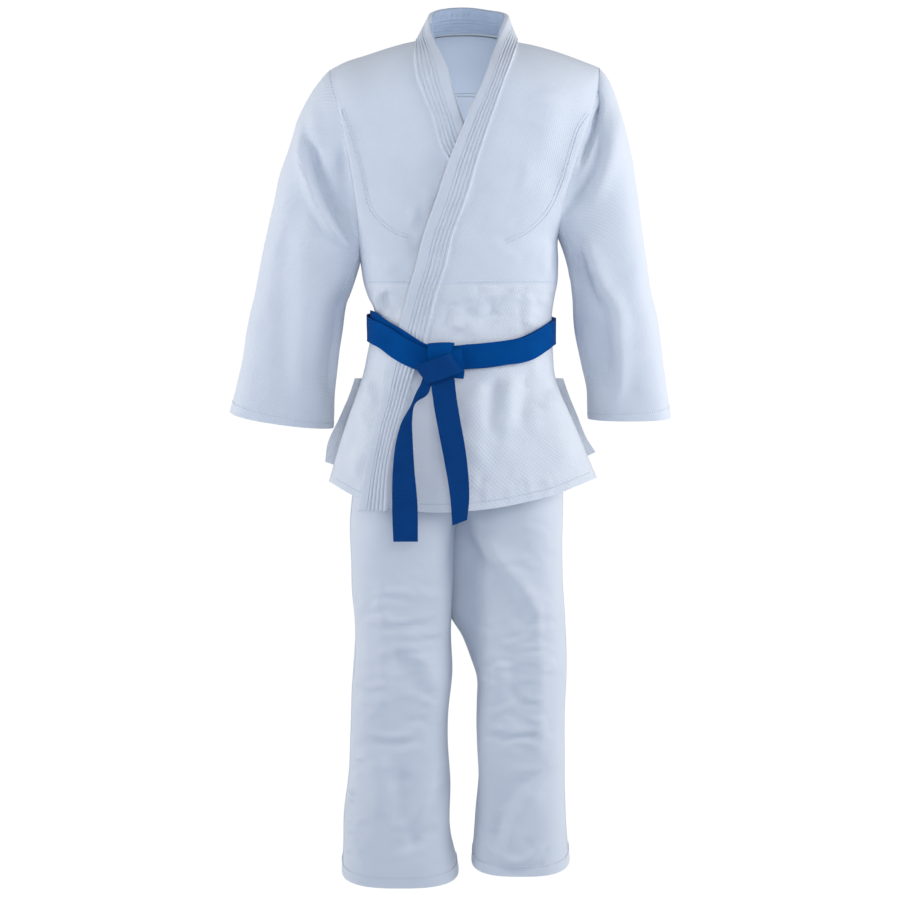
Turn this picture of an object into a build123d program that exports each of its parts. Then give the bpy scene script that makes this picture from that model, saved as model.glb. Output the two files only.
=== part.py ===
from build123d import *
import math
import os

# A judo uniform as it hangs on its wearer: wrapped jacket, tied belt and trousers.
# +X is the wearer's left, -Y the front and +Z up. The origin is the middle of the neck opening,
# at the height where the collar leaves the shoulders. All sizes are millimetres.

# ---- cloth ---------------------------------------------------------------------------------
JACKET_CLOTH = 3.0  # double-weave cotton
TROUSER_CLOTH = 2.0  # drill cotton with its seam allowance
LINING = 1.5
LAPEL_THICK = 7.0  # rows of stitching through a stuffed band
LAYER_GAP = 0.3  # between two layers that only lie on each other
JOINT_GAP = 0.8  # between a moving piece and its neighbour

# ---- jacket body: (height, half width, half depth) -----------------------------------------
NECK_X = 8.0
BODY_RINGS = [
    (-800.0, 222.0, 139.0),
    (-690.0, 204.0, 131.0),
    (-560.0, 166.0, 118.0),
    (-500.0, 152.0, 110.0),
    (-416.0, 158.0, 110.0),
    (-366.0, 172.0, 113.0),
    (-200.0, 216.0, 118.0),
    (-80.0, 238.0, 117.0),
    (80.0, 250.0, 112.0),
]
SQUARENESS = 2.6  # 2 is an ellipse, more is squarer
OVAL_POINTS = 20
ROUNDNESS = 0.93  # corner radius of sleeves and trousers, as a share of half the depth
ARCH_RISE = 118.0  # height of the rounded shoulder above the straight front
SHOULDER_ARCHES = [(-240.0, 97.0, -60.0), (-72.0, 128.0, -7.0), (88.0, 128.0, -7.0), (256.0, 97.0, -62.0)]
SKIRT_SEAM_Z = -416.0
VENT_TOP_Z = -578.0
HEM_FRONT_Z = -778.0
HEM_SIDE_Z = -748.0
UNDER_LAYER = LAPEL_THICK + JACKET_CLOTH + LINING + 3 * LAYER_GAP  # depth of the covered front

# ---- openings in the jacket ----------------------------------------------------------------
NECK_HALF = (74.0, 62.0)
COLLAR_HEIGHT = 46.0
LAPEL_TOP_Z = -9.0
COLLAR_TOP_HALF = (63.0, 57.0)
OVER_EDGE = [(77, 20), (60, -12), (12, -134), (-60, -345), (-97, -490), (-143, -655), (-164, -830)]
OVER_SEAM = [(-120, -830), (-108, -715), (-49, -498), (-8, -338), (56, -131), (100, -12), (104, 20)]
UNDER_EDGE = [(-60, 20), (-41, -2), (-6, -90), (75, -340), (112, -500), (150, -830)]
UNDER_SEAM = [(104, -830), (62, -500), (28, -340), (-44, -134), (-80, -12), (-88, 20)]
YOKE_BACK_Z = -104.0
YOKE_FRONT_Z = -330.0

# ---- sleeves: (outer point, inner point, half depth), each point (x, z) ---------------------
LEFT_SLEEVE = [
    ((233.0, -58.0), (170.0, -366.0), 80.0),
    ((305.0, -278.0), (184.0, -402.0), 75.0),
    ((336.0, -470.0), (202.0, -512.0), 66.0),
    ((361.0, -637.0), (220.0, -645.0), 62.0),
]
RIGHT_SLEEVE = [
    ((-220.0, -56.0), (-166.0, -370.0), 80.0),
    ((-311.0, -278.0), (-176.0, -404.0), 72.0),
    ((-354.0, -470.0), (-195.0, -512.0), 60.0),
    ((-388.0, -631.0), (-212.0, -656.0), 54.0),
]
CUFF_HEM = 32.0

# ---- belt ----------------------------------------------------------------------------------
BELT_WIDTH = 41.0
BELT_THICK = 2.5
BELT_FRONT_Z = -526.0
BELT_TILT = 13.0  # the belt sits lower in front
KNOT_BACK_Y = -131.0
KNOT_PLATE = 6.0
TAIL_TOP_Z = -576.0
TAIL_TOP_Y = -140.0
TAIL_SLOPE = 4.6  # degrees that the tails lean out over the skirt
RIGHT_TAIL = [
    *[(-58, 0), (-67, -11), (-76, -36), (-89, -57), (-101, -93), (-106, -130), (-107, -160), (-105, -250)],
    *[(-63, -250), (-65, -185), (-67, -150), (-71, -115), (-73, -68), (-71, -34), (-46, -13), (-46, 0)],
]
LEFT_TAIL = [
    *[(-42, 0), (-37, -32), (-30, -73), (-21, -120), (-11, -175), (-6, -223)],
    *[(16, -214), (19, -185), (18, -133), (14, -94), (5, -50), (0, -11), (-2, 0)],
]

# ---- trousers ------------------------------------------------------------------------------
WAIST_TOP_Z = -478.0
WAISTBAND = 40.0
WAIST_HALF = (129.0, 84.0)
CASING = 6.0  # outside thickness of the hollow waistband
TAPE = (14.0, 2.0)
SEAT_RINGS = [(-518.0, 129.0, 82.0), (-640.0, 150.0, 88.0), (-772.0, 174.0, 93.0)]
SEAT_BOTTOM_Z = -750.0
LEG_TOP_Z = -797.0
LEFT_LEG = [
    (LEG_TOP_Z, 97.0, 83.0, 97.0),
    (-980.0, 99.0, 86.0, 92.0),
    (-1100.0, 111.0, 77.0, 87.0),
    (-1275.0, 109.0, 76.0, 84.0),
    (-1424.0, 108.0, 86.0, 88.0),
]
RIGHT_LEG = [
    (LEG_TOP_Z, -96.0, 83.0, 97.0),
    (-980.0, -96.0, 84.0, 92.0),
    (-1110.0, -100.0, 84.0, 88.0),
    (-1275.0, -102.0, 86.0, 86.0),
    (-1438.0, -102.0, 97.0, 90.0),
]
KNEE_PATCH_Z = (-1190.0, -985.0)
LEG_HEM = 30.0
PATCH = 1.5
FAR = 500.0  # beyond everything in X or Y


# ---- helpers -------------------------------------------------------------------------------
def save(shape, name):
    """Writes a node, after checking that it is made of closed solids."""
    solids = shape.solids()
    if not solids or any(s.volume <= 0 for s in solids):
        raise ValueError(f"{name} has no solid")
    export_step(Compound(children=solids), f"parts/{name}.step")


def keep_solids(shape, least=200.0):
    """The shape without the specks that a cut can leave."""
    return Compound(children=[s for s in shape.solids() if s.volume > least])


def slab(low_z, high_z, low_y=-FAR, high_y=FAR):
    """All the space between two heights and, if given, two depths."""
    middle = ((low_y + high_y) / 2, (low_z + high_z) / 2)
    return Pos(0, *middle) * Box(2 * FAR, high_y - low_y, high_z - low_z)


def front_prism(points, low_y=-FAR, high_y=FAR):
    """A closed outline in the front view, as a prism between two depths."""
    face = make_face(Polyline(*points, close=True))
    return Pos(0, high_y, 0) * extrude(Plane.XZ * face, amount=high_y - low_y)


def curved_prism(edge, far_points, low_y=-FAR, high_y=FAR):
    """As front_prism, with one side of the outline a smooth curve."""
    side = Spline(*edge)
    rest = Polyline(edge[-1], *far_points, edge[0])
    face = make_face([side, *rest.edges()])
    return Pos(0, high_y, 0) * extrude(Plane.XZ * face, amount=high_y - low_y)


def strip_prism(edge, seam):
    """A band in the front view between two smooth curves, the second one running back."""
    outline = [Spline(*edge), Line(edge[-1], seam[0]), Spline(*seam), Line(seam[-1], edge[0])]
    return extrude(Plane.XZ * make_face(outline), amount=FAR)


# ---- jacket body ---------------------------------------------------------------------------
def oval(wide, deep):
    """A closed curve between an ellipse and a rectangle, as a face."""
    points = []
    for k in range(OVAL_POINTS):
        turn = 2 * math.pi * (k + 0.5) / OVAL_POINTS
        c, s = math.cos(turn), math.sin(turn)
        x = wide * math.copysign(abs(c) ** (2 / SQUARENESS), c)
        y = deep * math.copysign(abs(s) ** (2 / SQUARENESS), s)
        points.append((x, y))
    return make_face(Spline(*points, periodic=True))


def barrel(inset):
    """The jacket's trunk and skirt as stacked ovals, drawn in by inset."""
    rings = [Pos(NECK_X, 0, z) * oval(wide - inset, deep - inset) for z, wide, deep in BODY_RINGS]
    return loft(rings)


def saddle(inset):
    """The rounded shoulders as arches along X, drawn in by inset."""
    base = SKIRT_SEAM_Z - 20.0
    faces = []
    for x, deep, top in SHOULDER_ARCHES:
        b, z = deep - inset, top - inset
        spring = z - ARCH_RISE
        crown = Spline((b, spring), (0, z), (-b, spring), tangents=[(0, 1), (0, -1)])
        walls = Polyline((-b, spring), (-b, base), (b, base), (b, spring))
        faces.append(Plane.YZ.offset(x) * make_face([crown, *walls.edges()]))
    return loft(faces, ruled=True)


def armhole_cut(sleeve, gap):
    """The space beyond a sleeve's head, which holds the hinge line at the shoulder's top."""
    (top_x, top_z), (pit_x, pit_z), _ = sleeve[0]
    side = 1 if top_x > 0 else -1
    slope = (top_x - pit_x) / (top_z - pit_z)
    high, low = 200.0, pit_z - 60.0
    high_x = top_x + slope * (high - top_z) - side * gap
    low_x = top_x + slope * (low - top_z) - side * gap
    return front_prism([(low_x, low), (high_x, high), (side * 600, high), (side * 600, low)])


def hem_cut():
    """The space below the curved hem."""
    side_z = 2 * HEM_SIDE_Z - HEM_FRONT_Z
    edge = [(NECK_X - 260, side_z), (NECK_X, HEM_FRONT_Z), (NECK_X + 260, side_z)]
    return curved_prism(edge, [(260, -900), (-260, -900)])


CORES = {}


def core(part, inset):
    """The filled trunk or skirt, drawn in by inset and running on past its cut edges."""
    if (part, inset) not in CORES:
        solid = barrel(inset)
        if part == "trunk":
            solid = solid & saddle(inset)
        CORES[(part, inset)] = solid
    return CORES[(part, inset)]


def layer(part, inset, thick, block, drop=(), band=None):
    """A sheet of cloth wrapped round the trunk or skirt, inside a block and outside the drops."""
    if part == "trunk":
        drop = [armhole_cut(LEFT_SLEEVE, JOINT_GAP), armhole_cut(RIGHT_SLEEVE, JOINT_GAP), *drop]
    else:
        drop = [hem_cut(), *drop]
    solid = core(part, inset) & block
    if band is not None:
        solid = solid & band
    for zone in drop:
        solid = solid - zone
    return keep_solids(solid - core(part, inset + thick))


def neck_hole():
    return Pos(NECK_X, 4, 0) * extrude(make_face(Ellipse(*NECK_HALF).edges()), amount=160, both=True)


def beyond_over_edge():
    """Everything on the wearer's right of the over lapel's free edge."""
    return curved_prism(OVER_EDGE, [(-FAR, -830), (-FAR, 20)])


def beyond_under_edge():
    """Everything on the wearer's left of the under lapel's free edge."""
    return curved_prism(UNDER_EDGE, [(FAR, -830), (FAR, 20)])


# blocks of space: (low z, high z, low y, high y)
TRUNK_FRONT = slab(SKIRT_SEAM_Z, 100, -FAR, 0)
TRUNK_BACK = slab(SKIRT_SEAM_Z, 100, LAYER_GAP, FAR)
SKIRT_FRONT = slab(-900, SKIRT_SEAM_Z, -FAR, 0)


def trunk_nodes():
    neck = neck_hole()
    right_cuts = [neck, beyond_under_edge()]
    save(layer("trunk", 0, JACKET_CLOTH, TRUNK_BACK, [neck]), "jacket_back")
    save(layer("trunk", 0, JACKET_CLOTH, TRUNK_FRONT, [neck, beyond_over_edge()]), "jacket_front_left")
    save(layer("trunk", UNDER_LAYER, JACKET_CLOTH, TRUNK_FRONT, right_cuts), "jacket_front_right")


def lining_nodes():
    neck = neck_hole()
    lined = JACKET_CLOTH + LAYER_GAP
    yoke_back = slab(YOKE_BACK_Z, 100, LAYER_GAP, FAR)
    save(layer("trunk", lined, LINING, yoke_back, [neck]), "yoke_lining_back")
    strip = Pos(NECK_X, FAR / 2 + 1, (YOKE_BACK_Z - 390) / 2) * Box(24, FAR, 390 + YOKE_BACK_Z - LAYER_GAP)
    save(layer("trunk", lined, LINING, strip), "back_centre_strip")
    yoke_front = slab(YOKE_FRONT_Z, 100, -FAR, 0)
    left_cuts = [neck, beyond_over_edge()]
    save(layer("trunk", lined, LINING, yoke_front, left_cuts), "yoke_lining_left")
    right_cuts = [neck, beyond_under_edge()]
    save(layer("trunk", UNDER_LAYER + lined, LINING, yoke_front, right_cuts), "yoke_lining_right")


def skirt_nodes():
    above_vent = slab(VENT_TOP_Z, SKIRT_SEAM_Z, LAYER_GAP, FAR)
    below_vent = slab(-900, VENT_TOP_Z - JOINT_GAP, 6, FAR)
    save(layer("skirt", 0, JACKET_CLOTH, above_vent), "skirt_back_yoke")
    save(layer("skirt", 0, JACKET_CLOTH, below_vent), "skirt_back_flap")
    save(layer("skirt", 0, JACKET_CLOTH, SKIRT_FRONT, [beyond_over_edge()]), "skirt_front_left")
    save(layer("skirt", UNDER_LAYER, JACKET_CLOTH, SKIRT_FRONT, [beyond_under_edge()]), "skirt_front_right")


def lapel_nodes():
    neck = neck_hole()
    upper_block = slab(SKIRT_SEAM_Z, LAPEL_TOP_Z, -FAR, 0)
    for side, edge, seam, inset in (
        ("left", OVER_EDGE, OVER_SEAM, -LAPEL_THICK),
        ("right", UNDER_EDGE, UNDER_SEAM, UNDER_LAYER - LAPEL_THICK),
    ):
        band = strip_prism(edge, seam)
        upper = layer("trunk", inset, LAPEL_THICK, upper_block, [neck], band)
        lower = layer("skirt", inset, LAPEL_THICK, SKIRT_FRONT, [], band)
        save(keep_solids(upper + lower), f"lapel_{side}")


def collar_band():
    """The stiff band that stands round the back and sides of the neck."""
    wall = LAPEL_THICK + 1.0
    foot_z = -70.0
    wide, deep = NECK_HALF
    top_wide, top_deep = COLLAR_TOP_HALF
    shells = []
    for inset in (0, wall):
        foot = Pos(NECK_X, 6, foot_z) * Ellipse(wide + 22 - inset, deep + 18 - inset)
        mouth = Pos(NECK_X, 4, COLLAR_HEIGHT) * Ellipse(top_wide - inset, top_deep - inset)
        shells.append(loft([foot, mouth], ruled=True))
    band = (shells[0] - shells[1]) & slab(-40, COLLAR_HEIGHT, -26, FAR)
    save(keep_solids(band - core("trunk", -LAPEL_THICK - LAYER_GAP)), "collar_band")


# ---- sleeves -------------------------------------------------------------------------------
def sleeve_solid(sections, inset):
    """A tube of rounded oblongs that fan out round the armpit, drawn in by inset."""
    faces = []
    for (ox, oz), (ix, iz), deep in sections:
        reach = Vector(ox - ix, 0, oz - iz)
        middle = ((ox + ix) / 2, 0, (oz + iz) / 2)
        plane = Plane(origin=middle, x_dir=reach, z_dir=reach.cross(Vector(0, 1, 0)))
        a, b = reach.length / 2 - inset, deep - inset
        faces.append(plane * RectangleRounded(2 * a, 2 * b, ROUNDNESS * min(a, b)))
    return loft(faces)


def cuff_zone(sections, up):
    """The space within a distance above a sleeve's mouth, square to its edge."""
    (ox, oz), (ix, iz), _ = sections[-1]
    along = Vector(ox - ix, 0, oz - iz).normalized()
    rise = along.cross(Vector(0, 1, 0))
    if rise.Z < 0:
        rise = -rise
    middle = Vector((ox + ix) / 2, 0, (oz + iz) / 2)
    plane = Plane(origin=middle, x_dir=along, z_dir=rise)
    return plane * Pos(0, 0, up / 2) * Box(400, 400, up)


def sleeve_nodes(side, sections):
    outside = sleeve_solid(sections, 0)
    save(outside - sleeve_solid(sections, JACKET_CLOTH), f"sleeve_{side}")
    skin = sleeve_solid(sections, -PATCH) - outside
    save(keep_solids(skin & cuff_zone(sections, CUFF_HEM)), f"cuff_hem_{side}")
    (pit_x, pit_z) = sections[1][1]
    outward = 1 if pit_x > 0 else -1
    corner = Pos(pit_x - outward * 8, 0, pit_z - 20) * Box(56, 90, 90)
    save(keep_solids(skin & corner), f"armpit_gusset_{side}")


# ---- belt ----------------------------------------------------------------------------------
def belt_slab(width):
    """The space that the tilted belt runs in."""
    front_y = -BODY_RINGS[2][2]
    return Pos(0, front_y, BELT_FRONT_Z) * Rot(BELT_TILT, 0, 0) * Pos(0, -front_y, 0) * Box(2 * FAR, 2 * FAR, width)


def belt_nodes():
    first = -LAPEL_THICK - LAYER_GAP
    second = first - BELT_THICK - LAYER_GAP
    for inset, name in ((first, "belt_inner_wrap"), (second, "belt_outer_wrap")):
        ring = (barrel(inset - BELT_THICK) - barrel(inset)) & belt_slab(BELT_WIDTH)
        save(keep_solids(ring), name)
    plates = [
        ("belt_knot_back", [(-60, -530), (12, -528), (14, -555), (-2, -562), (-44, -569), (-60, -566)]),
        ("belt_knot_loop", [(-44, -505), (-3, -504), (-3, -560), (-44, -566)]),
        ("belt_knot_front", [(-52, -532), (-13, -518), (10, -554), (-41, -568)]),
    ]
    for count, (name, outline) in enumerate(plates):
        back_y = KNOT_BACK_Y - count * (KNOT_PLATE + LAYER_GAP)
        plate = front_prism(outline, back_y - KNOT_PLATE, back_y)
        plate = fillet(plate.edges().filter_by(Axis.Y), 3.0)
        save(plate, name)
    lean = Pos(0, TAIL_TOP_Y, TAIL_TOP_Z) * Rot(-TAIL_SLOPE, 0, 0)
    for name, outline in (("belt_tail_right", RIGHT_TAIL), ("belt_tail_left", LEFT_TAIL)):
        save(lean * front_prism(outline, -BELT_THICK, 0), name)


# ---- trousers ------------------------------------------------------------------------------
def stack(rings, inset):
    """Rounded oblongs at their heights: (height, middle x, half width, half depth)."""
    faces = []
    for z, x, wide, deep in rings:
        a, b = wide - inset, deep - inset
        radius = ROUNDNESS * min(a, b)
        faces.append(Pos(x, 0, z) * RectangleRounded(2 * a, 2 * b, radius))
    return loft(faces)


def oblong_ring(inset, low_z, high_z):
    """A straight length of the waist's outline."""
    wide, deep = WAIST_HALF
    a, b = wide - inset, deep - inset
    return Pos(NECK_X, 0, low_z) * extrude(RectangleRounded(2 * a, 2 * b, ROUNDNESS * b), amount=high_z - low_z)


def waist_nodes():
    low, high = WAIST_TOP_Z - WAISTBAND, WAIST_TOP_Z
    middle = (low + high) / 2
    wall = (CASING - TAPE[1] - 1.0) / 2
    band = oblong_ring(0, low, high) - oblong_ring(CASING, low, high)
    tunnel_low, tunnel_high = middle - TAPE[0] / 2 - 1, middle + TAPE[0] / 2 + 1
    band -= oblong_ring(wall, tunnel_low, tunnel_high) - oblong_ring(CASING - wall, tunnel_low, tunnel_high)
    eyelets = [Pos(NECK_X + x, -WAIST_HALF[1], middle) * Box(7, 2 * wall + 1, TAPE[0] + 1.6) for x in (-30, 30)]
    for eyelet in eyelets:
        band -= eyelet
    save(band, "waistband")

    tape_in = wall + 0.5
    tape = oblong_ring(tape_in, middle - TAPE[0] / 2, middle + TAPE[0] / 2)
    tape -= oblong_ring(tape_in + TAPE[1], middle - TAPE[0] / 2, middle + TAPE[0] / 2)
    front_gap = Pos(NECK_X, -WAIST_HALF[1], middle) * Box(56, 30, TAPE[0] + 2)
    tape -= front_gap
    outside_y = -WAIST_HALF[1] - TAPE[1] - 0.4
    for x in (-30, 30):
        tape += Pos(NECK_X + x, -WAIST_HALF[1] + tape_in / 2, middle) * Box(5, tape_in + 5, TAPE[0])
    tape += Pos(NECK_X, outside_y + TAPE[1] / 2, middle) * Box(65, TAPE[1], TAPE[0])
    save(tape, "drawstring")
    loops = []
    for x in (-46, 46):
        loop = Pos(NECK_X + x, outside_y + 0.6, middle) * Box(10, 3.6, 26)
        loop -= Pos(NECK_X + x, outside_y + 1.2, middle) * Box(12, 2.6, 20)
        loops.extend((loop - oblong_ring(0, low, high)).solids())
    save(Compound(children=loops), "drawstring_loops")

    rings = [(z, NECK_X, wide, deep) for z, wide, deep in SEAT_RINGS]
    seat = (stack(rings, 0) - stack(rings, TROUSER_CLOTH)) & slab(SEAT_BOTTOM_Z, low)
    gusset_z = SEAT_BOTTOM_Z + 10
    save(keep_solids(seat), "trouser_seat")
    reach = SEAT_RINGS[-1][2] - TROUSER_CLOTH - 2.5
    diamond = make_face(Polyline((0, -reach), (58, 0), (0, reach), (-58, 0), close=True))
    save(Pos(NECK_X, 0, gusset_z) * extrude(diamond, amount=TROUSER_CLOTH), "crotch_gusset")


def leg_nodes(side, rings):
    outside = stack(rings, 0)
    foot_z = rings[-1][0]
    save(outside - stack(rings, TROUSER_CLOTH), f"leg_{side}")
    skin = stack(rings, -PATCH) - outside
    save(keep_solids(skin & slab(*KNEE_PATCH_Z, -FAR, -12)), f"knee_patch_{side}")
    save(keep_solids(skin & slab(foot_z, foot_z + LEG_HEM)), f"leg_hem_{side}")


def main():
    os.makedirs("parts", exist_ok=True)
    trunk_nodes()
    lining_nodes()
    skirt_nodes()
    lapel_nodes()
    collar_band()
    sleeve_nodes("left", LEFT_SLEEVE)
    sleeve_nodes("right", RIGHT_SLEEVE)
    belt_nodes()
    waist_nodes()
    leg_nodes("left", LEFT_LEG)
    leg_nodes("right", RIGHT_LEG)


main()
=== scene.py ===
import math

import bmesh
import bpy
import numpy as np
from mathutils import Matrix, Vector


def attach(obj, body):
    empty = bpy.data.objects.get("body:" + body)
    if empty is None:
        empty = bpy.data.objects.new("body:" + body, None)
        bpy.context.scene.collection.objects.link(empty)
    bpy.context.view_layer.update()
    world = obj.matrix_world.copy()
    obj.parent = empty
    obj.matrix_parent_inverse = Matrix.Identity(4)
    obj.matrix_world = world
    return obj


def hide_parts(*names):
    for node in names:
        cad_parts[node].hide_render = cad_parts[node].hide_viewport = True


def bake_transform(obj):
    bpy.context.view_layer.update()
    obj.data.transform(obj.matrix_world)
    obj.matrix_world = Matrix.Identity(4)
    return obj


# A judo uniform as worn by nobody: wrapped jacket, tied belt, straight trousers.
# +X is the wearer's left, -Y the front, +Z up, in metres.
# Outlines are drawn as the camera sees them, at the scale of the plane y = 0 through the body, and
# place() then sets every point at its own depth along its line of sight.

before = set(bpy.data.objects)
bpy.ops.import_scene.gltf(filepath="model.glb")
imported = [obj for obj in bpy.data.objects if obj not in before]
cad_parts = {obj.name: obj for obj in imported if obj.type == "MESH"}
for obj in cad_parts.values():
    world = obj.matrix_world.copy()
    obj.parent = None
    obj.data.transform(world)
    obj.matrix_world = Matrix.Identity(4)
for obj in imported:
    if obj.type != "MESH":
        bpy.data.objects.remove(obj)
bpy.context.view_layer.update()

# ---- camera and drawing ------------------------------------------------------------------------
EYE = np.array([-0.012, -3.2, -0.25])
AIM = np.array([-0.012, 0.0, -0.697])
VIEW_WIDTH = 1.53  # how much of the plane through AIM the picture is wide
SENSOR = 36.0

# ---- cloth -------------------------------------------------------------------------------------
JACKET_CLOTH = 0.0028
TROUSER_CLOTH = 0.0018
LINING_CLOTH = 0.0014
BELT_THICK = 0.0024
UNDER_DEPTH = 0.0125  # how far back the right front lies behind the left one
LAP = 0.014  # how far a front runs on under its lapel
SEAM_LINE = (0.0016, 0.0008)  # width and height of a raised row of stitching
FINE_LINE = (0.0012, 0.0006)
CROWD = 0.55  # how much a panel's points crowd towards its side edges
SETTLE = 14  # rounds in which a panel's edges and heights settle, since each depends on the other
SQUARENESS = 3.0  # of the trunk's section: 2 is an ellipse, more is squarer
SLEEVE_CURVE = 0.82  # of a section: 1 is an ellipse, less is squarer
LEG_CURVE = 0.74
SEAT_CURVE = 0.84

# ---- the room that only the camera sees --------------------------------------------------------
FLOOR = -1.5
ROOM = 6.0  # from the middle to the wall
ROOM_SIDES = 96
ROOM_RINGS = 14
COVE = 2.0  # how far up the wall the floor's shade fades into the wall's
PALE_GREY = 0.62
PAPER_WHITE = 1.02

# ---- jacket outline: height -> side, as drawn --------------------------------------------------
RIGHT_SIDE = [
    *[(-0.83, -0.245), (-0.75, -0.218), (-0.688, -0.2), (-0.639, -0.184), (-0.6, -0.17)],
    *[(-0.573, -0.161), (-0.526, -0.151), (-0.49, -0.143), (-0.458, -0.141), (-0.437, -0.151)],
    *[(-0.416, -0.158), (-0.375, -0.165), (-0.3, -0.187), (-0.2, -0.214), (-0.05, -0.243), (0.06, -0.25)],
]
LEFT_SIDE = [
    *[(-0.83, 0.268), (-0.745, 0.238), (-0.71, 0.223), (-0.68, 0.211), (-0.64, 0.194)],
    *[(-0.6, 0.176), (-0.573, 0.167), (-0.528, 0.163), (-0.47, 0.161), (-0.435, 0.166), (-0.416, 0.17)],
    *[(-0.375, 0.172), (-0.336, 0.172), (-0.3, 0.187), (-0.2, 0.22), (-0.05, 0.25), (0.06, 0.257)],
]
FRONT_DEPTH = [
    *[(-0.83, 0.142), (-0.7, 0.131), (-0.6, 0.121), (-0.53, 0.112), (-0.47, 0.107)],
    *[(-0.416, 0.113), (-0.33, 0.118), (-0.2, 0.12), (-0.08, 0.118), (0.06, 0.112)],
]
BACK_DEPTH = [
    *[(-0.83, 0.14), (-0.7, 0.13), (-0.6, 0.118), (-0.53, 0.108), (-0.47, 0.104)],
    *[(-0.416, 0.108), (-0.3, 0.114), (-0.2, 0.118), (-0.08, 0.116), (0.06, 0.11)],
]
# the line along the top of the shoulders: side -> height
CREST = [
    *[(-0.27, -0.09), (-0.245, -0.072), (-0.217, -0.052), (-0.191, -0.038), (-0.158, -0.027)],
    *[(-0.07, -0.002), (0.017, 0.0), (0.104, -0.004), (0.216, -0.037), (0.242, -0.048)],
    *[(0.267, -0.066), (0.29, -0.085)],
]
NECK_MIDDLE = 0.0165
NECK_HALF = 0.0895
NECK_DEEP = 0.088
NECK_RISE = 0.012  # how much higher the back is at the middle of the neck
FRONT_ROUND = 0.1  # over how much height the shoulder rounds off
BACK_ROUND = 0.055
SKIRT_SEAM = -0.416
FRONT_HEM = [
    *[(-0.218, -0.75), (-0.178, -0.774), (-0.14, -0.79), (-0.08, -0.801), (0.02, -0.801)],
    *[(0.071, -0.795), (0.125, -0.784), (0.161, -0.775), (0.209, -0.756), (0.238, -0.744)],
]
BACK_HEM = [(-0.226, -0.716), (-0.15, -0.742), (0.01, -0.757), (0.15, -0.738), (0.236, -0.7)]
VENT_TOP = -0.575
FLAP_LEFT = [
    *[(-0.76, 0.25), (-0.702, 0.236), (-0.68, 0.222), (-0.64, 0.205), (-0.6, 0.189)],
    *[(-0.574, 0.18)],
]
FLAP_RIGHT = [
    *[(-0.76, -0.235), (-0.719, -0.2245), (-0.686, -0.22), (-0.642, -0.2), (-0.6, -0.182)],
    *[(-0.574, -0.1735)],
]
LEFT_YOKE = [
    *[(0.225, -0.125), (0.208, -0.15), (0.196, -0.185), (0.18, -0.24), (0.151, -0.299)],
    *[(0.112, -0.333), (0.085, -0.345)],
]
RIGHT_YOKE = [
    *[(-0.197, -0.118), (-0.182, -0.16), (-0.163, -0.226), (-0.146, -0.292), (-0.119, -0.321)],
    *[(-0.085, -0.337)],
]
LINING_FOOT = -0.325
BACK_LINING_FOOT = -0.103
LEFT_WAIST_SEAM = [(0.0, -0.412), (0.08, -0.411), (0.16, -0.411)]
RIGHT_WAIST_SEAM = [(-0.15, -0.411), (-0.11, -0.411), (-0.07, -0.412)]

# ---- armholes: height -> side ------------------------------------------------------------------
RIGHT_ARMHOLE = [
    *[(-0.375, -0.165), (-0.31, -0.169), (-0.248, -0.177), (-0.18, -0.189), (-0.113, -0.203)],
    *[(-0.071, -0.214), (-0.052, -0.217)],
]
LEFT_ARMHOLE = [
    *[(-0.336, 0.172), (-0.293, 0.178), (-0.214, 0.2), (-0.135, 0.226), (-0.107, 0.234)],
    *[(-0.07, 0.241), (-0.048, 0.242)],
]

# ---- sleeves: outer edge, inner edge, half depths ----------------------------------------------
RIGHT_SLEEVE_OUTER = [
    *[(-0.217, -0.052), (-0.245, -0.082), (-0.265, -0.118), (-0.282, -0.169), (-0.293, -0.203)],
    *[(-0.307, -0.253), (-0.321, -0.318), (-0.333, -0.375), (-0.343, -0.433), (-0.353, -0.469)],
    *[(-0.369, -0.562), (-0.386, -0.631)],
]
RIGHT_SLEEVE_INNER = [
    *[(-0.165, -0.375), (-0.175, -0.414), (-0.187, -0.451), (-0.196, -0.505), (-0.205, -0.573)],
    *[(-0.21, -0.658)],
]
LEFT_SLEEVE_OUTER = [
    *[(0.242, -0.048), (0.267, -0.076), (0.281, -0.127), (0.295, -0.194), (0.306, -0.262)],
    *[(0.318, -0.338), (0.329, -0.423), (0.339, -0.471), (0.351, -0.551), (0.363, -0.64)],
]
LEFT_SLEEVE_INNER = [
    *[(0.172, -0.336), (0.18, -0.352), (0.187, -0.375), (0.195, -0.437), (0.203, -0.505)],
    *[(0.212, -0.551), (0.22, -0.596), (0.222, -0.642)],
]
SLEEVE_DEPTHS = [0.078, 0.074, 0.069, 0.064, 0.06]
CREST_LEAN = 0.11  # how far the front of a sleeve stands towards its outer edge, as a share of its width
SLEEVE_ROWS = 136
SLEEVE_COLUMNS = 104
CUFF_ROWS = 5
ARMPIT = slice(104, 130)  # rows under the armpit gusset

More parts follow.
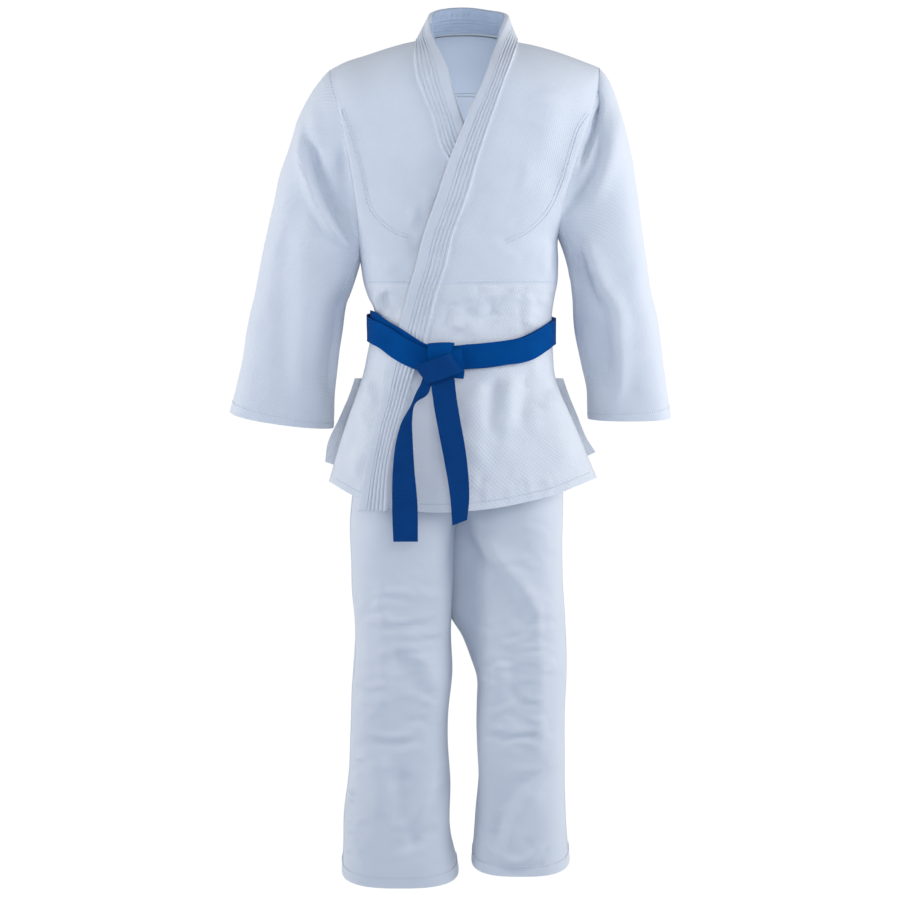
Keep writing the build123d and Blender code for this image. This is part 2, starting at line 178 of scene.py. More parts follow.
# ---- lapels: free edge and seam, from the hem up to the neck -----------------------------------
OVER_EDGE = [
    *[(-0.17, -0.803), (-0.162, -0.756), (-0.151, -0.704), (-0.141, -0.653), (-0.129, -0.61)],
    *[(-0.121, -0.561), (-0.104, -0.505), (-0.092, -0.464), (-0.083, -0.427), (-0.073, -0.393)],
    *[(-0.06, -0.34), (-0.034, -0.264), (-0.011, -0.196), (0.015, -0.134), (0.042, -0.073)],
    *[(0.065, -0.01)],
]
OVER_SEAM = [
    *[(-0.119, -0.803), (-0.112, -0.712), (-0.09, -0.63), (-0.068, -0.559), (-0.053, -0.515)],
    *[(-0.041, -0.464), (-0.031, -0.422), (-0.021, -0.395), (-0.008, -0.34), (0.019, -0.264)],
    *[(0.039, -0.196), (0.06, -0.131), (0.085, -0.061), (0.101, -0.02)],
]
UNDER_EDGE = [
    *[(0.15, -0.79), (0.112, -0.5), (0.075, -0.34), (0.036, -0.2), (0.01, -0.134), (-0.005, -0.09)],
    *[(-0.017, -0.046), (-0.031, -0.015)],
]
UNDER_SEAM = [
    *[(0.104, -0.79), (0.06, -0.5), (0.03, -0.34), (-0.012, -0.21), (-0.029, -0.18)],
    *[(-0.042, -0.134), (-0.058, -0.095), (-0.07, -0.061), (-0.074, -0.02)],
]
# round the back of the neck, from the wearer's left to right: (x, y, z)
NECK_EDGE = [
    *[(0.076, -0.02, 0.024), (0.081, 0.004, 0.039), (0.075, 0.034, 0.046), (0.05, 0.056, 0.05)],
    *[(0.017, 0.064, 0.0545), (-0.014, 0.057, 0.053), (-0.034, 0.036, 0.049)],
    *[(-0.0425, 0.006, 0.04), (-0.0425, -0.018, 0.018)],
]
NECK_SEAM = [
    *[(0.1, -0.008, -0.006), (0.0985, 0.018, -0.002), (0.088, 0.05, 0.004), (0.058, 0.078, 0.01)],
    *[(0.016, 0.088, 0.012), (-0.024, 0.078, 0.01), (-0.053, 0.05, 0.004)],
    *[(-0.065, 0.018, -0.002), (-0.068, -0.006, -0.006)],
]
OVER_FOOT = -0.801
UNDER_FOOT = -0.762
NECK_FOOT = -0.03  # where the lapels meet the collar
LAPEL_KEYS = 40  # points on each edge of a lapel
CHANNELS_FROM = 0.34  # the rows of stitching fill the lapel from here to the seam
CHANNEL = 0.132  # one row, as a share of the lapel's width

# ---- trousers ----------------------------------------------------------------------------------
RIGHT_LEG_OUTER = [
    *[(-1.42, -0.196), (-1.302, -0.19), (-1.233, -0.184), (-1.106, -0.179), (-1.041, -0.174)],
    *[(-0.976, -0.174), (-0.904, -0.181), (-0.777, -0.178), (-0.7, -0.17), (-0.6, -0.15), (-0.5, -0.126)],
]
RIGHT_LEG_INNER = [
    *[(-1.42, 0.004), (-1.402, 0.001), (-1.354, -0.01), (-1.248, -0.013), (-1.141, -0.016)],
    *[(-1.06, -0.008), (-1.008, -0.01), (-0.927, -0.007), (-0.83, -0.004), (-0.78, 0.003), (-0.5, 0.003)],
]
LEFT_LEG_OUTER = [
    *[(-1.42, 0.194), (-1.383, 0.19), (-1.293, 0.183), (-1.172, 0.183), (-1.106, 0.185)],
    *[(-0.976, 0.184), (-0.911, 0.179), (-0.774, 0.179), (-0.7, 0.174), (-0.6, 0.158), (-0.5, 0.138)],
]
LEFT_LEG_INNER = [
    *[(-1.42, 0.022), (-1.354, 0.028), (-1.263, 0.033), (-1.157, 0.032), (-1.078, 0.036)],
    *[(-0.976, 0.036), (-0.87, 0.03), (-0.8, 0.012), (-0.74, 0.003), (-0.5, 0.003)],
]
# how far the left leg's inner side, behind its front, comes back towards the middle
LEFT_LEG_INSIDE = [
    *[(-1.42, 0.0), (-1.12, 0.0), (-1.078, 0.003), (-1.05, 0.014), (-1.017, 0.03), (-0.985, 0.048)],
    *[(-0.95, 0.052), (-0.87, 0.048), (-0.8, 0.03), (-0.74, 0.0), (-0.5, 0.0)],
]
LEG_DEPTH = [
    *[(-1.42, 0.09), (-1.25, 0.085), (-1.1, 0.088), (-0.97, 0.092), (-0.83, 0.097), (-0.7, 0.1)],
    *[(-0.6, 0.094), (-0.5, 0.085)],
]
RIGHT_HEM = -1.409
LEFT_HEM = -1.39
LEG_TOP = -0.52  # inside the seat, where the jacket hides it
LEG_ROWS = 212
LEG_COLUMNS = 110
LEG_SEAM_ROWS = 165  # a leg's seams run from its hem up to this row
HEM_ROW = 4
KNEE = slice(50, 104)  # rows under the knee patch
SEAT_HALF_WIDTH = [(-0.79, 0.162), (-0.64, 0.142), (-0.518, 0.129), (-0.47, 0.129)]
SEAT_DEPTH = [(-0.79, 0.088), (-0.64, 0.086), (-0.518, 0.084), (-0.47, 0.084)]
WAISTBAND_ROWS = 9

# ---- belt --------------------------------------------------------------------------------------
BELT_WIDTH = 0.041
BELT_FRONT = [
    *[(-0.16, -0.488), (-0.145, -0.496), (-0.13, -0.503), (-0.099, -0.524), (-0.067, -0.54)],
    *[(-0.045, -0.547), (0.0, -0.54), (0.073, -0.533), (0.124, -0.5235), (0.158, -0.503), (0.172, -0.494)],
]
BELT_INNER = [
    *[(-0.16, -0.476), (-0.142, -0.483), (-0.125, -0.496), (-0.1, -0.512), (-0.067, -0.533)],
    *[(-0.045, -0.541), (0.0, -0.54), (0.073, -0.5335), (0.124, -0.5215), (0.158, -0.501), (0.172, -0.49)],
]
BELT_BACK = [(-0.16, -0.488), (-0.1, -0.474), (0.01, -0.463), (0.1, -0.474), (0.172, -0.494)]
# each strap is a list of (left point, right point), bottom first, drawn as (x, depth, z)
TAIL_LEFT = [
    ((-0.008, -0.163, -0.8255), (0.017, -0.16, -0.816)),
    ((-0.012, -0.161, -0.775), (0.0205, -0.156, -0.785)),
    ((-0.0215, -0.157, -0.717), (0.0185, -0.154, -0.731)),
    ((-0.031, -0.153, -0.668), (0.0125, -0.151, -0.685)),
    ((-0.038, -0.149, -0.63), (0.005, -0.148, -0.644)),
    ((-0.0435, -0.146, -0.592), (-0.001, -0.146, -0.606)),
    ((-0.047, -0.142, -0.565), (-0.005, -0.142, -0.57)),
    ((-0.045, -0.138, -0.545), (-0.008, -0.138, -0.545)),
]
TAIL_RIGHT = [
    ((-0.1085, -0.161, -0.853), (-0.0665, -0.163, -0.853)),
    ((-0.1105, -0.158, -0.79), (-0.0675, -0.16, -0.785)),
    ((-0.1095, -0.155, -0.735), (-0.0725, -0.159, -0.73)),
    ((-0.1035, -0.151, -0.682), (-0.0755, -0.157, -0.68)),
    ((-0.0935, -0.147, -0.648), (-0.0765, -0.156, -0.643)),
    ((-0.079, -0.144, -0.622), (-0.0715, -0.157, -0.615)),
    ((-0.07, -0.142, -0.6), (-0.05, -0.15, -0.6)),
    ((-0.062, -0.14, -0.585), (-0.042, -0.142, -0.578)),
    ((-0.056, -0.137, -0.565), (-0.035, -0.137, -0.555)),
]
KNOT_BACK = [
    ((-0.035, -0.132, -0.571), (0.011, -0.134, -0.576)),
    ((-0.035, -0.136, -0.562), (0.0125, -0.139, -0.566)),
    ((-0.036, -0.137, -0.545), (0.0105, -0.138, -0.545)),
    ((-0.036, -0.134, -0.53), (0.008, -0.132, -0.525)),
]
KNOT_LOOP = [
    ((-0.0495, -0.139, -0.56), (-0.012, -0.139, -0.556)),
    ((-0.0495, -0.142, -0.545), (-0.013, -0.142, -0.54)),
    ((-0.0502, -0.1425, -0.53), (-0.009, -0.1425, -0.527)),
    ((-0.0503, -0.14, -0.52), (-0.0055, -0.14, -0.518)),
    ((-0.0503, -0.133, -0.516), (-0.0045, -0.133, -0.5145)),
    ((-0.0503, -0.122, -0.518), (-0.0045, -0.122, -0.5165)),
]
KNOT_FRONT = [
    ((-0.0485, -0.134, -0.5835), (-0.0705, -0.134, -0.5535)),
    ((-0.0493, -0.143, -0.5848), (-0.0713, -0.1425, -0.5538)),
    ((-0.0455, -0.149, -0.5835), (-0.0675, -0.148, -0.5525)),
    ((-0.0195, -0.152, -0.575), (-0.0425, -0.1515, -0.5435)),
    ((0.0055, -0.149, -0.5658), (-0.018, -0.149, -0.5348)),
    ((0.0094, -0.143, -0.5644), (-0.0138, -0.143, -0.5334)),
    ((0.009, -0.134, -0.5645), (-0.0143, -0.134, -0.5337)),
]


# ---- numbers and curves ------------------------------------------------------------------------
def lookup(table, t):
    """A smooth curve through a table of (key, value), with its keys rising."""
    keys = np.array([k for k, _ in table], float)
    values = np.array([v for _, v in table], float)
    slopes = np.gradient(values, keys)
    t = np.clip(np.asarray(t, float), keys[0], keys[-1])
    i = np.clip(np.searchsorted(keys, t, side="right") - 1, 0, len(keys) - 2)
    h = keys[i + 1] - keys[i]
    s = (t - keys[i]) / h
    a = values[i] * (1 + 2 * s) * (1 - s) ** 2
    b = values[i + 1] * s**2 * (3 - 2 * s)
    return a + b + h * slopes[i] * s * (1 - s) ** 2 - h * slopes[i + 1] * s**2 * (1 - s)


def curve(table):
    """The same smooth curve as a function."""
    return lambda t: lookup(table, t)


def straight(value):
    """A straight edge of a panel: one height for its foot or top, one place across for a side."""
    return lambda t: value + 0 * t


def smooth(low, high, t):
    """0 below low, 1 above high and an easy step between."""
    s = np.clip((np.asarray(t, float) - low) / (high - low), 0, 1)
    return s * s * (3 - 2 * s)


def along(points, shares):
    """Points of a smooth curve through the given ones, at shares of its length."""
    points = np.asarray(points, float)
    steps = np.linalg.norm(np.diff(points, axis=0), axis=1)
    keys = np.concatenate([[0], np.cumsum(steps)])
    keys = keys / keys[-1]
    columns = [lookup(list(zip(keys, points[:, k])), shares) for k in range(points.shape[1])]
    return np.stack(columns, axis=-1)


def crumple(points, size, seed=0.0):
    """A gentle, repeatable unevenness between about -1 and 1, with bumps of that size."""
    total = np.zeros(points.shape[:-1])
    for k in range(7):
        turn = 2.4 * k + seed
        direction = np.array([math.cos(turn), 0.7 * math.sin(1.7 * turn + 1), math.sin(turn)])
        phase = 3.1 * math.sin(5.3 * k + seed)
        wave = points @ direction * (2 * math.pi / (size * (0.7 + 0.13 * k)))
        bend = np.sin(points @ direction[::-1] * (4.0 / size) + 1.3 * k)
        total = total + np.sin(wave + phase + 1.2 * bend)
    return total / 4.0


# ---- drawing to space --------------------------------------------------------------------------
def place(points):
    """Takes drawn points (x, depth y, z) to where they stand on their lines of sight."""
    points = np.asarray(points, float)
    reach = np.linalg.norm(AIM - EYE)
    forward = (AIM - EYE) / reach
    up = np.array([0.0, -forward[2], forward[1]])
    u = (points[..., 0] - AIM[0]) / reach
    v = (points[..., 2] - AIM[2]) / reach
    ray = u[..., None] * np.array([1.0, 0, 0]) + v[..., None] * up + forward
    t = (points[..., 1] - EYE[1]) / ray[..., 1]
    return EYE + t[..., None] * ray


def normals(grid, wrap):
    """Outward normals of a grid of points whose rows run up and columns run round."""
    if wrap:
        across = np.roll(grid, -1, axis=1) - np.roll(grid, 1, axis=1)
    else:
        across = np.gradient(grid, axis=1)
    upward = np.gradient(grid, axis=0)
    n = np.cross(across, upward)
    length = np.linalg.norm(n, axis=-1, keepdims=True)
    return n / np.maximum(length, 1e-12)


# ---- folds -------------------------------------------------------------------------------------
def fold_height(x, z, path, width, height, skew=0.0):
    """How far a fold along a drawn path lifts the cloth: a rounded ridge, or a valley if negative.
    A skew of 1 or -1 puts a valley beside the ridge, on one side or the other."""
    shares = np.linspace(0, 1, 40)
    line = along(path, shares)
    reach = 4 * width
    near = (x > line[:, 0].min() - reach) & (x < line[:, 0].max() + reach)
    near &= (z > line[:, 1].min() - reach) & (z < line[:, 1].max() + reach)
    lift = np.zeros(x.shape)
    if not near.any():
        return lift
    flat = np.stack([x[near], z[near]], axis=-1)
    gap = flat[:, None, :] - line[None, :, :]
    nearest = (gap**2).sum(-1).argmin(1)
    tangent = np.gradient(line, axis=0)
    tangent = tangent / np.linalg.norm(tangent, axis=1, keepdims=True)
    t = tangent[nearest]
    g = gap[np.arange(len(nearest)), nearest]
    signed = t[:, 0] * g[:, 1] - t[:, 1] * g[:, 0]
    beyond = np.abs((t * g).sum(-1))
    share = shares[nearest]
    ends = smooth(0, 0.3, share) * (1 - smooth(0.7, 1, share))
    spread = width * (0.6 + 0.6 * ends)
    profile = np.exp(-((signed / spread) ** 2)) * np.exp(-((beyond / width) ** 2))
    if skew:
        profile = profile - 0.8 * np.exp(-(((signed - skew * 1.6 * spread) / spread) ** 2)) * np.exp(
            -((beyond / width) ** 2)
        )
    lift[near] = height * ends * profile
    return lift


def fold(grid, wrap, folds, side=-1):
    """Raises folds on the part of a drawn grid that faces the front (side -1) or the back (side 1)."""
    n = normals(grid, wrap)
    facing = smooth(0.05, 0.45, side * n[..., 1])
    lift = np.zeros(grid.shape[:2])
    for path, width, height, *skew in folds:
        lift = lift + fold_height(grid[..., 0], grid[..., 2], path, width, height, *skew)
    r = np.linspace(0, 1, grid.shape[0])[:, None]
    keep = 1 - smooth(0.965, 1, r)
    if not wrap:
        c = np.linspace(0, 1, grid.shape[1])[None, :]
        keep = keep * smooth(0, 0.06, c) * (1 - smooth(0.94, 1, c))
    return grid + n * (lift * facing * keep)[..., None]


def wrinkles(seed, box, count, length, width, height, tilt=0.0, spread=0.5):
    """Short random folds inside a drawn box (low x, low z, high x, high z)."""
    dice = np.random.default_rng(seed)
    made = []
    for _ in range(count):
        x, z = dice.uniform(box[0], box[2]), dice.uniform(box[1], box[3])
        turn = tilt + dice.normal(0, spread)
        run = length * dice.uniform(0.6, 1.4) / 2
        bend = dice.normal(0, 0.25) * run
        dx, dz = math.cos(turn) * run, math.sin(turn) * run
        path = [(x - dx, z - dz), (x - dz * bend / run, z + dx * bend / run), (x + dx, z + dz)]
        side = 1 if dice.uniform() > 0.5 else -1
        made.append((path, width * dice.uniform(0.7, 1.4), height * dice.uniform(0.5, 1.3), side))
    return made


# ---- meshes ------------------------------------------------------------------------------------
def lengths(grid, axis):
    """Distance run along an axis of a grid, averaged over the other axis."""
    steps = np.linalg.norm(np.diff(grid, axis=axis), axis=-1).mean(axis=1 - axis)
    return np.concatenate([[0], np.cumsum(steps)])


def skin(grid, wrap, thick):
    """A closed mesh of that thickness under a placed grid: points, faces and their UVs in metres."""
    rows, cols = grid.shape[:2]
    n = normals(grid, wrap)
    points = np.concatenate([grid.reshape(-1, 3), (grid - n * thick).reshape(-1, 3)])
    under = rows * cols
    run_up, run_round = lengths(grid, 0), lengths(grid, 1)
    if wrap:
        run_round = np.append(run_round, run_round[-1] * cols / (cols - 1))
    faces, uvs = [], []
    last = cols if wrap else cols - 1
    for i in range(rows - 1):
        for j in range(last):
            k = (j + 1) % cols
            a, b, c, d = i * cols + j, i * cols + k, (i + 1) * cols + k, (i + 1) * cols + j
            square = [(run_round[j], run_up[i]), (run_round[j + 1], run_up[i])]
            square += [(run_round[j + 1], run_up[i + 1]), (run_round[j], run_up[i + 1])]
            faces.append((a, b, c, d))
            uvs.extend(square)
            faces.append((d + under, c + under, b + under, a + under))
            uvs.extend(square[::-1])
    rim = []
    for j in range(last):
        k = (j + 1) % cols
        top = (rows - 1) * cols
        rim.append((j, j + under, k + under, k))
        rim.append((top + k, top + k + under, top + j + under, top + j))
    if not wrap:
        for i in range(rows - 1):
            a, b = i * cols, (i + 1) * cols
            c, d = a + cols - 1, b + cols - 1
            rim.append((b, b + under, a + under, a))
            rim.append((c, c + under, d + under, d))
    for face in rim:
        faces.append(face)
        uvs.extend([(0, 0), (0, thick), (thick, thick), (thick, 0)])
    return points, faces, uvs


def bead(path, face_normals, width, height):
    """A low raised line on the cloth along placed points, for a seam or a row of stitching."""
    path = np.asarray(path, float)
    tangent = np.gradient(path, axis=0)
    tangent = tangent / np.linalg.norm(tangent, axis=1, keepdims=True)
    across = np.cross(tangent, face_normals)
    across = across / np.linalg.norm(across, axis=1, keepdims=True)
    columns = []
    for turn in np.linspace(0, math.pi, 5):
        aside, upward = width / 2 * math.cos(turn), height * math.sin(turn)
        columns.append(path + across * aside + face_normals * upward)
    columns.append(path - face_normals * 0.0006)
    grid = np.stack(columns, axis=1)
    rows, cols = grid.shape[:2]
    run = lengths(grid, 0)
    faces, uvs = [], []
    for i in range(rows - 1):
        for j in range(cols):
            k = (j + 1) % cols
            faces.append((i * cols + j, i * cols + k, (i + 1) * cols + k, (i + 1) * cols + j))
            uvs.extend([(j * 0.001, run[i]), (j * 0.001 + 0.001, run[i])])
            uvs.extend([(j * 0.001 + 0.001, run[i + 1]), (j * 0.001, run[i + 1])])
    faces.append(tuple(range(cols))[::-1])
    uvs.extend([(0, 0)] * cols)
    faces.append(tuple((rows - 1) * cols + j for j in range(cols)))
    uvs.extend([(0, 0)] * cols)
    return grid.reshape(-1, 3), faces, uvs


def grid_line(grid, wrap, rows, cols, lift=0.0):
    """Points and normals on a placed grid at fractional row and column places."""
    n = normals(grid, wrap)
    points, outward = [], []
    height, width = grid.shape[:2]
    for r, c in zip(rows, cols):
        i, j = min(int(r), height - 2), int(c)
        fr, fc = r - i, c - j
        j2 = (j + 1) % width if wrap else min(j + 1, width - 1)
        j = j % width if wrap else min(j, width - 1)
        for source, into in ((grid, points), (n, outward)):
            low = source[i, j] * (1 - fc) + source[i, j2] * fc
            high = source[i + 1, j] * (1 - fc) + source[i + 1, j2] * fc
            into.append(low * (1 - fr) + high * fr)
    points, outward = np.array(points), np.array(outward)
    outward = outward / np.linalg.norm(outward, axis=1, keepdims=True)
    return points + outward * lift, outward


def build(name, parts, materials):
    """One object from several (points, faces, uvs), each with the material of the same place."""
    points, faces, uvs, which = [], [], [], []
    base = 0
    for k, (p, f, uv) in enumerate(parts):
        points.append(p)
        faces.extend(tuple(i + base for i in face) for face in f)
        uvs.extend(uv)
        which.extend([min(k, len(materials) - 1)] * len(f))
        base += len(p)
    mesh = bpy.data.meshes.new(name + "_cloth")
    mesh.from_pydata(np.concatenate(points).tolist(), [], faces)
    layer = mesh.uv_layers.new(name="cloth")
    layer.data.foreach_set("uv", np.array(uvs, np.float32).ravel())
    for material in materials:
        mesh.materials.append(material)
    mesh.polygons.foreach_set("material_index", np.array(which, np.int32))
    mesh.polygons.foreach_set("use_smooth", np.ones(len(faces), bool))
    outward = bmesh.new()
    outward.from_mesh(mesh)
    bmesh.ops.recalc_face_normals(outward, faces=outward.faces)
    outward.to_mesh(mesh)
    outward.free()
    mesh.set_sharp_from_angle(angle=math.radians(48))
    obj = bpy.data.objects.new(name + "_cloth", mesh)
    bpy.context.scene.collection.objects.link(obj)
    return obj


def cloth(name, grid, wrap, thick, materials, lines=()):
    """A piece of cloth from a drawn grid, with raised lines of stitching."""
    placed = place(grid)
    parts = [skin(placed, wrap, thick)]
    for path, width, height in lines:
        rows, cols = locate(grid, path)
        parts.append(bead(*grid_line(placed, wrap, rows, cols), width, height))
    obj = build(name, parts, materials)
    across = [np.linalg.norm(np.diff(row, axis=0), axis=1).sum() for row in placed]
    if wrap:
        across = [a + np.linalg.norm(row[0] - row[-1]) for a, row in zip(across, placed)]
    return obj


def stand_in(piece, node):
    """Fixes a piece to the torso, in place of a CAD node."""
    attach(piece, "torso")
    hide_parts(node)


def locate(grid, path):
    """Row and column places on a drawn grid of points drawn as (side, height)."""
    rows, cols = [], []
    for x, z in path:
        gap = (grid[..., 0] - x) ** 2 + (grid[..., 2] - z) ** 2 + 1e-3 * (grid[..., 1] > 0.0)
        i, j = np.unravel_index(gap.argmin(), gap.shape)
        i, j = min(max(i, 1), grid.shape[0] - 2), min(max(j, 1), grid.shape[1] - 2)
        down, side = grid[i + 1, j] - grid[i - 1, j], grid[i, j + 1] - grid[i, j - 1]
        system = np.array([[down[0], side[0]], [down[2], side[2]]]) / 2
        step = np.linalg.lstsq(system, np.array([x - grid[i, j, 0], z - grid[i, j, 2]]), rcond=None)[0]
        rows.append(np.clip(i + np.clip(step[0], -1, 1), 0, grid.shape[0] - 1.001))
        cols.append(np.clip(j + np.clip(step[1], -1, 1), 0, grid.shape[1] - 1.001))
    return rows, cols


def stitched(points, count=60):
    """A smooth drawn line as evenly spaced points."""
    return [tuple(p) for p in along(points, np.linspace(0, 1, count))]


def by_height(line):
    """The same line as (height, side), from the bottom up."""
    return sorted((z, x) for x, z in line)


# ---- materials ---------------------------------------------------------------------------------
class Nodes:
    """A small helper that adds shader nodes and joins them."""

    def __init__(self, name):
        self.material = bpy.data.materials.new(name)
        self.material.use_nodes = True
        self.tree = self.material.node_tree
        self.shader = self.tree.nodes["Principled BSDF"]
        uv = self.tree.nodes.new("ShaderNodeUVMap")
        uv.uv_map = "cloth"
        split = self.tree.nodes.new("ShaderNodeSeparateXYZ")
        self.tree.links.new(uv.outputs[0], split.inputs[0])
        self.u, self.v, self.uv = split.outputs[0], split.outputs[1], uv.outputs[0]
        place_of = self.tree.nodes.new("ShaderNodeTexCoord")
        self.spot = place_of.outputs["Object"]

    def math(self, operation, a, b=0.0, c=0.0):
        node = self.tree.nodes.new("ShaderNodeMath")
        node.operation = operation
        for socket, value in zip(node.inputs, (a, b, c)):
            if isinstance(value, (int, float)):
                socket.default_value = value
            else:
                self.tree.links.new(value, socket)
        return node.outputs[0]

    def wave(self, u_pitch, v_pitch):
        """A sine along u and v with those pitches in metres; 0 leaves one out."""
        total = None
        for axis, pitch in ((self.u, u_pitch), (self.v, v_pitch)):
            if pitch:
                term = self.math("MULTIPLY", axis, 2 * math.pi / pitch)
                total = term if total is None else self.math("ADD", total, term)
        return self.math("SINE", total)

    def noise(self, source, scale, detail=3.0):
        node = self.tree.nodes.new("ShaderNodeTexNoise")
        node.inputs["Scale"].default_value = scale
        node.inputs["Detail"].default_value = detail
        self.tree.links.new(source, node.inputs["Vector"])
        return node.outputs["Fac"]

    def add(self, *terms):
        """The sum of (socket, weight) pairs."""
        total = None
        for socket, weight in terms:
            term = self.math("MULTIPLY", socket, weight)
            total = term if total is None else self.math("ADD", total, term)
        return total

    def finish(self, low, high, mix, height, depth, rough, sheen):
        """Colour between low and high by mix, a bump of that depth in metres, and the surface."""
        ramp = self.tree.nodes.new("ShaderNodeMix")
        ramp.data_type = "RGBA"
        ramp.inputs["A"].default_value = (*low, 1)
        ramp.inputs["B"].default_value = (*high, 1)
        self.tree.links.new(mix, ramp.inputs["Factor"])
        self.tree.links.new(ramp.outputs["Result"], self.shader.inputs["Base Color"])
        bump = self.tree.nodes.new("ShaderNodeBump")
        bump.inputs["Strength"].default_value = 1.0
        bump.inputs["Distance"].default_value = depth
        self.tree.links.new(height, bump.inputs["Height"])
        self.tree.links.new(bump.outputs["Normal"], self.shader.inputs["Normal"])
        uneven = self.math("MULTIPLY_ADD", self.noise(self.spot, 60), 0.12, rough - 0.06)
        self.tree.links.new(uneven, self.shader.inputs["Roughness"])
        self.shader.inputs["Sheen Weight"].default_value = sheen
        self.shader.inputs["Sheen Roughness"].default_value = 0.5
        self.shader.inputs["Specular IOR Level"].default_value = 0.12
        return self.material


WHITE = (0.77, 0.8, 0.845)
SHADE = (0.72, 0.755, 0.81)


def rice_weave():
    """Staggered grains, each a few millimetres long."""
    n = Nodes("rice_grain_weave")
    grains = n.math("MULTIPLY", n.wave(0.0046, 0), n.wave(0, 0.0068))
    fuzz = n.noise(n.uv, 900)
    mix = n.add((grains, 0.1), (n.noise(n.spot, 22), 0.7), (fuzz, 0.3))
    return n.finish(SHADE, WHITE, mix, n.add((grains, 0.5), (fuzz, 0.5)), 0.00032, 0.85, 0.04)


def diamond_quilt():
    """Small diamonds between two crossing sets of stitched lines."""
    n = Nodes("diamond_quilting")
    one = n.math("ABSOLUTE", n.wave(0.011, 0.017))
    two = n.math("ABSOLUTE", n.wave(-0.011, 0.017))
    pillow = n.math("POWER", n.math("MINIMUM", one, two), 0.6)
    fuzz = n.noise(n.uv, 800)
    mix = n.add((pillow, 0.25), (n.noise(n.spot, 25), 0.6), (fuzz, 0.25))
    height = n.add((pillow, 1.0), (fuzz, 0.3))
    return n.finish((0.76, 0.79, 0.83), (0.82, 0.84, 0.87), mix, height, 0.00045, 0.85, 0.04)


def drill(name, pitch=0.0022, low=SHADE, high=WHITE):
    """Fine slanting ribs."""
    n = Nodes(name)
    rib = n.wave(pitch, pitch * 1.1)
    fuzz = n.noise(n.uv, 700)
    mix = n.add((rib, 0.08), (n.noise(n.spot, 18), 0.8), (fuzz, 0.25))
    return n.finish(low, high, mix, n.add((rib, 0.4), (fuzz, 0.6)), 0.00028, 0.8, 0.03)


def plain_weave(name, low, high):
    """Threads over and under, close together."""
    n = Nodes(name)
    threads = n.math("MULTIPLY", n.wave(0.0014, 0), n.wave(0, 0.0014))
    fuzz = n.noise(n.uv, 1000)
    mix = n.add((threads, 0.1), (n.noise(n.spot, 25), 0.8), (fuzz, 0.2))
    return n.finish(low, high, mix, n.add((threads, 0.5), (fuzz, 0.5)), 0.0003, 0.85, 0.03)


def thread():
    n = Nodes("white_stitching")
    twist = n.wave(0, 0.004)
    return n.finish((0.66, 0.7, 0.77), (0.8, 0.83, 0.88), twist, twist, 0.0004, 0.7, 0.0)


def belt_ribs(name, low, high):
    """Blue cotton with rows of stitching along it."""
    n = Nodes(name)
    rib = n.math("ABSOLUTE", n.wave(0, 0.0068))
    twill = n.wave(0.0016, 0.0016)
    fuzz = n.noise(n.uv, 600)
    mix = n.add((rib, 0.25), (n.noise(n.spot, 30), 0.6), (fuzz, 0.3))
    height = n.add((n.math("POWER", rib, 0.5), 1.0), (twill, 0.15), (fuzz, 0.2))
    n.finish(low, high, mix, height, 0.0005, 0.8, 0.0)
    n.shader.inputs["Specular IOR Level"].default_value = 0.04
    return n.material


# ---- the trunk ---------------------------------------------------------------------------------
def signed_power(value, power):
    return np.sign(value) * np.abs(value) ** power


def dome(drop, high):
    """How full a shoulder is at a drop below its line: 0 on the line, 1 from that far down."""
    share = np.clip(1 - drop / high, 0, 1)
    return np.sqrt(1 - share**2)


def neck_back(x):
    """How far back the neck's seam runs at that side, 0 outside the neck."""
    return NECK_DEEP * np.sqrt(np.clip(1 - ((x - NECK_MIDDLE) / NECK_HALF) ** 2, 0, 1))


def crest_front(x):
    return lookup(CREST, x)


def crest_back(x):
    return lookup(CREST, x) + NECK_RISE * (neck_back(x) / NECK_DEEP) ** 2


def trunk_depth(x, z, side, layer=0.0):
    """Where the trunk's cloth stands: side -1 is its front, 1 its back, layer how far inside."""
    west, east = lookup(RIGHT_SIDE, z), lookup(LEFT_SIDE, z)
    half = (east - west) / 2
    if side < 0:
        half = half * (1 + 0.07 * smooth(0.565, 0.65, -z))  # below the vents the fronts stop short
    across = np.clip(np.abs(x - (west + east) / 2) / half, 0, 1)
    flat = (1 - across**SQUARENESS) ** (1 / SQUARENESS)
    if side < 0:
        return -(lookup(FRONT_DEPTH, z) - layer) * flat * dome(crest_front(x) - z, FRONT_ROUND)
    end = neck_back(x)
    full = (lookup(BACK_DEPTH, z) - layer) * flat
    return end + (full - end) * dome(crest_back(x) - z, BACK_ROUND)


def right_edge(z):
    """The right front's outer edge: its side, and the armhole above the armpit."""
    return np.where(z < RIGHT_ARMHOLE[0][0], lookup(RIGHT_SIDE, z), lookup(RIGHT_ARMHOLE, z))


def left_edge(z):
    return np.where(z < LEFT_ARMHOLE[0][0], lookup(LEFT_SIDE, z), lookup(LEFT_ARMHOLE, z))


def panel(west, east, foot, top, depth, rows, cols):
    """A drawn grid from one edge to another and from a foot to a top, its points closer at the top."""
    s = np.linspace(0, 1, rows)
    t = np.linspace(0, 1, cols)
    rise = (0.35 * s + 0.65 * s * (2 - s))[:, None]
    bend = t - (CROWD * (1 - t) ** 2 * t - CROWD * t**2 * (1 - t)) * 1.2
    share = bend[None, :]
    z = np.zeros((rows, cols)) + (-0.6 + 0.5 * rise)
    for _ in range(SETTLE):
        x = west(z) + (east(z) - west(z)) * share
        z = foot(x) + (top(x) - foot(x)) * rise
    return np.stack([x, depth(x, z), z], axis=-1)


def under_layer(x, z):
    """How deep the right front lies under the left one: nothing at its outer edge."""
    free = lookup(by_height(UNDER_SEAM), z)
    outer = right_edge(z)
    return UNDER_DEPTH * smooth(0.0, 0.55, (x - outer) / (free - outer))


def over_front(x, z):
    return trunk_depth(x, z, -1)


def under_front(x, z):
    return trunk_depth(x, z, -1, under_layer(x, z))


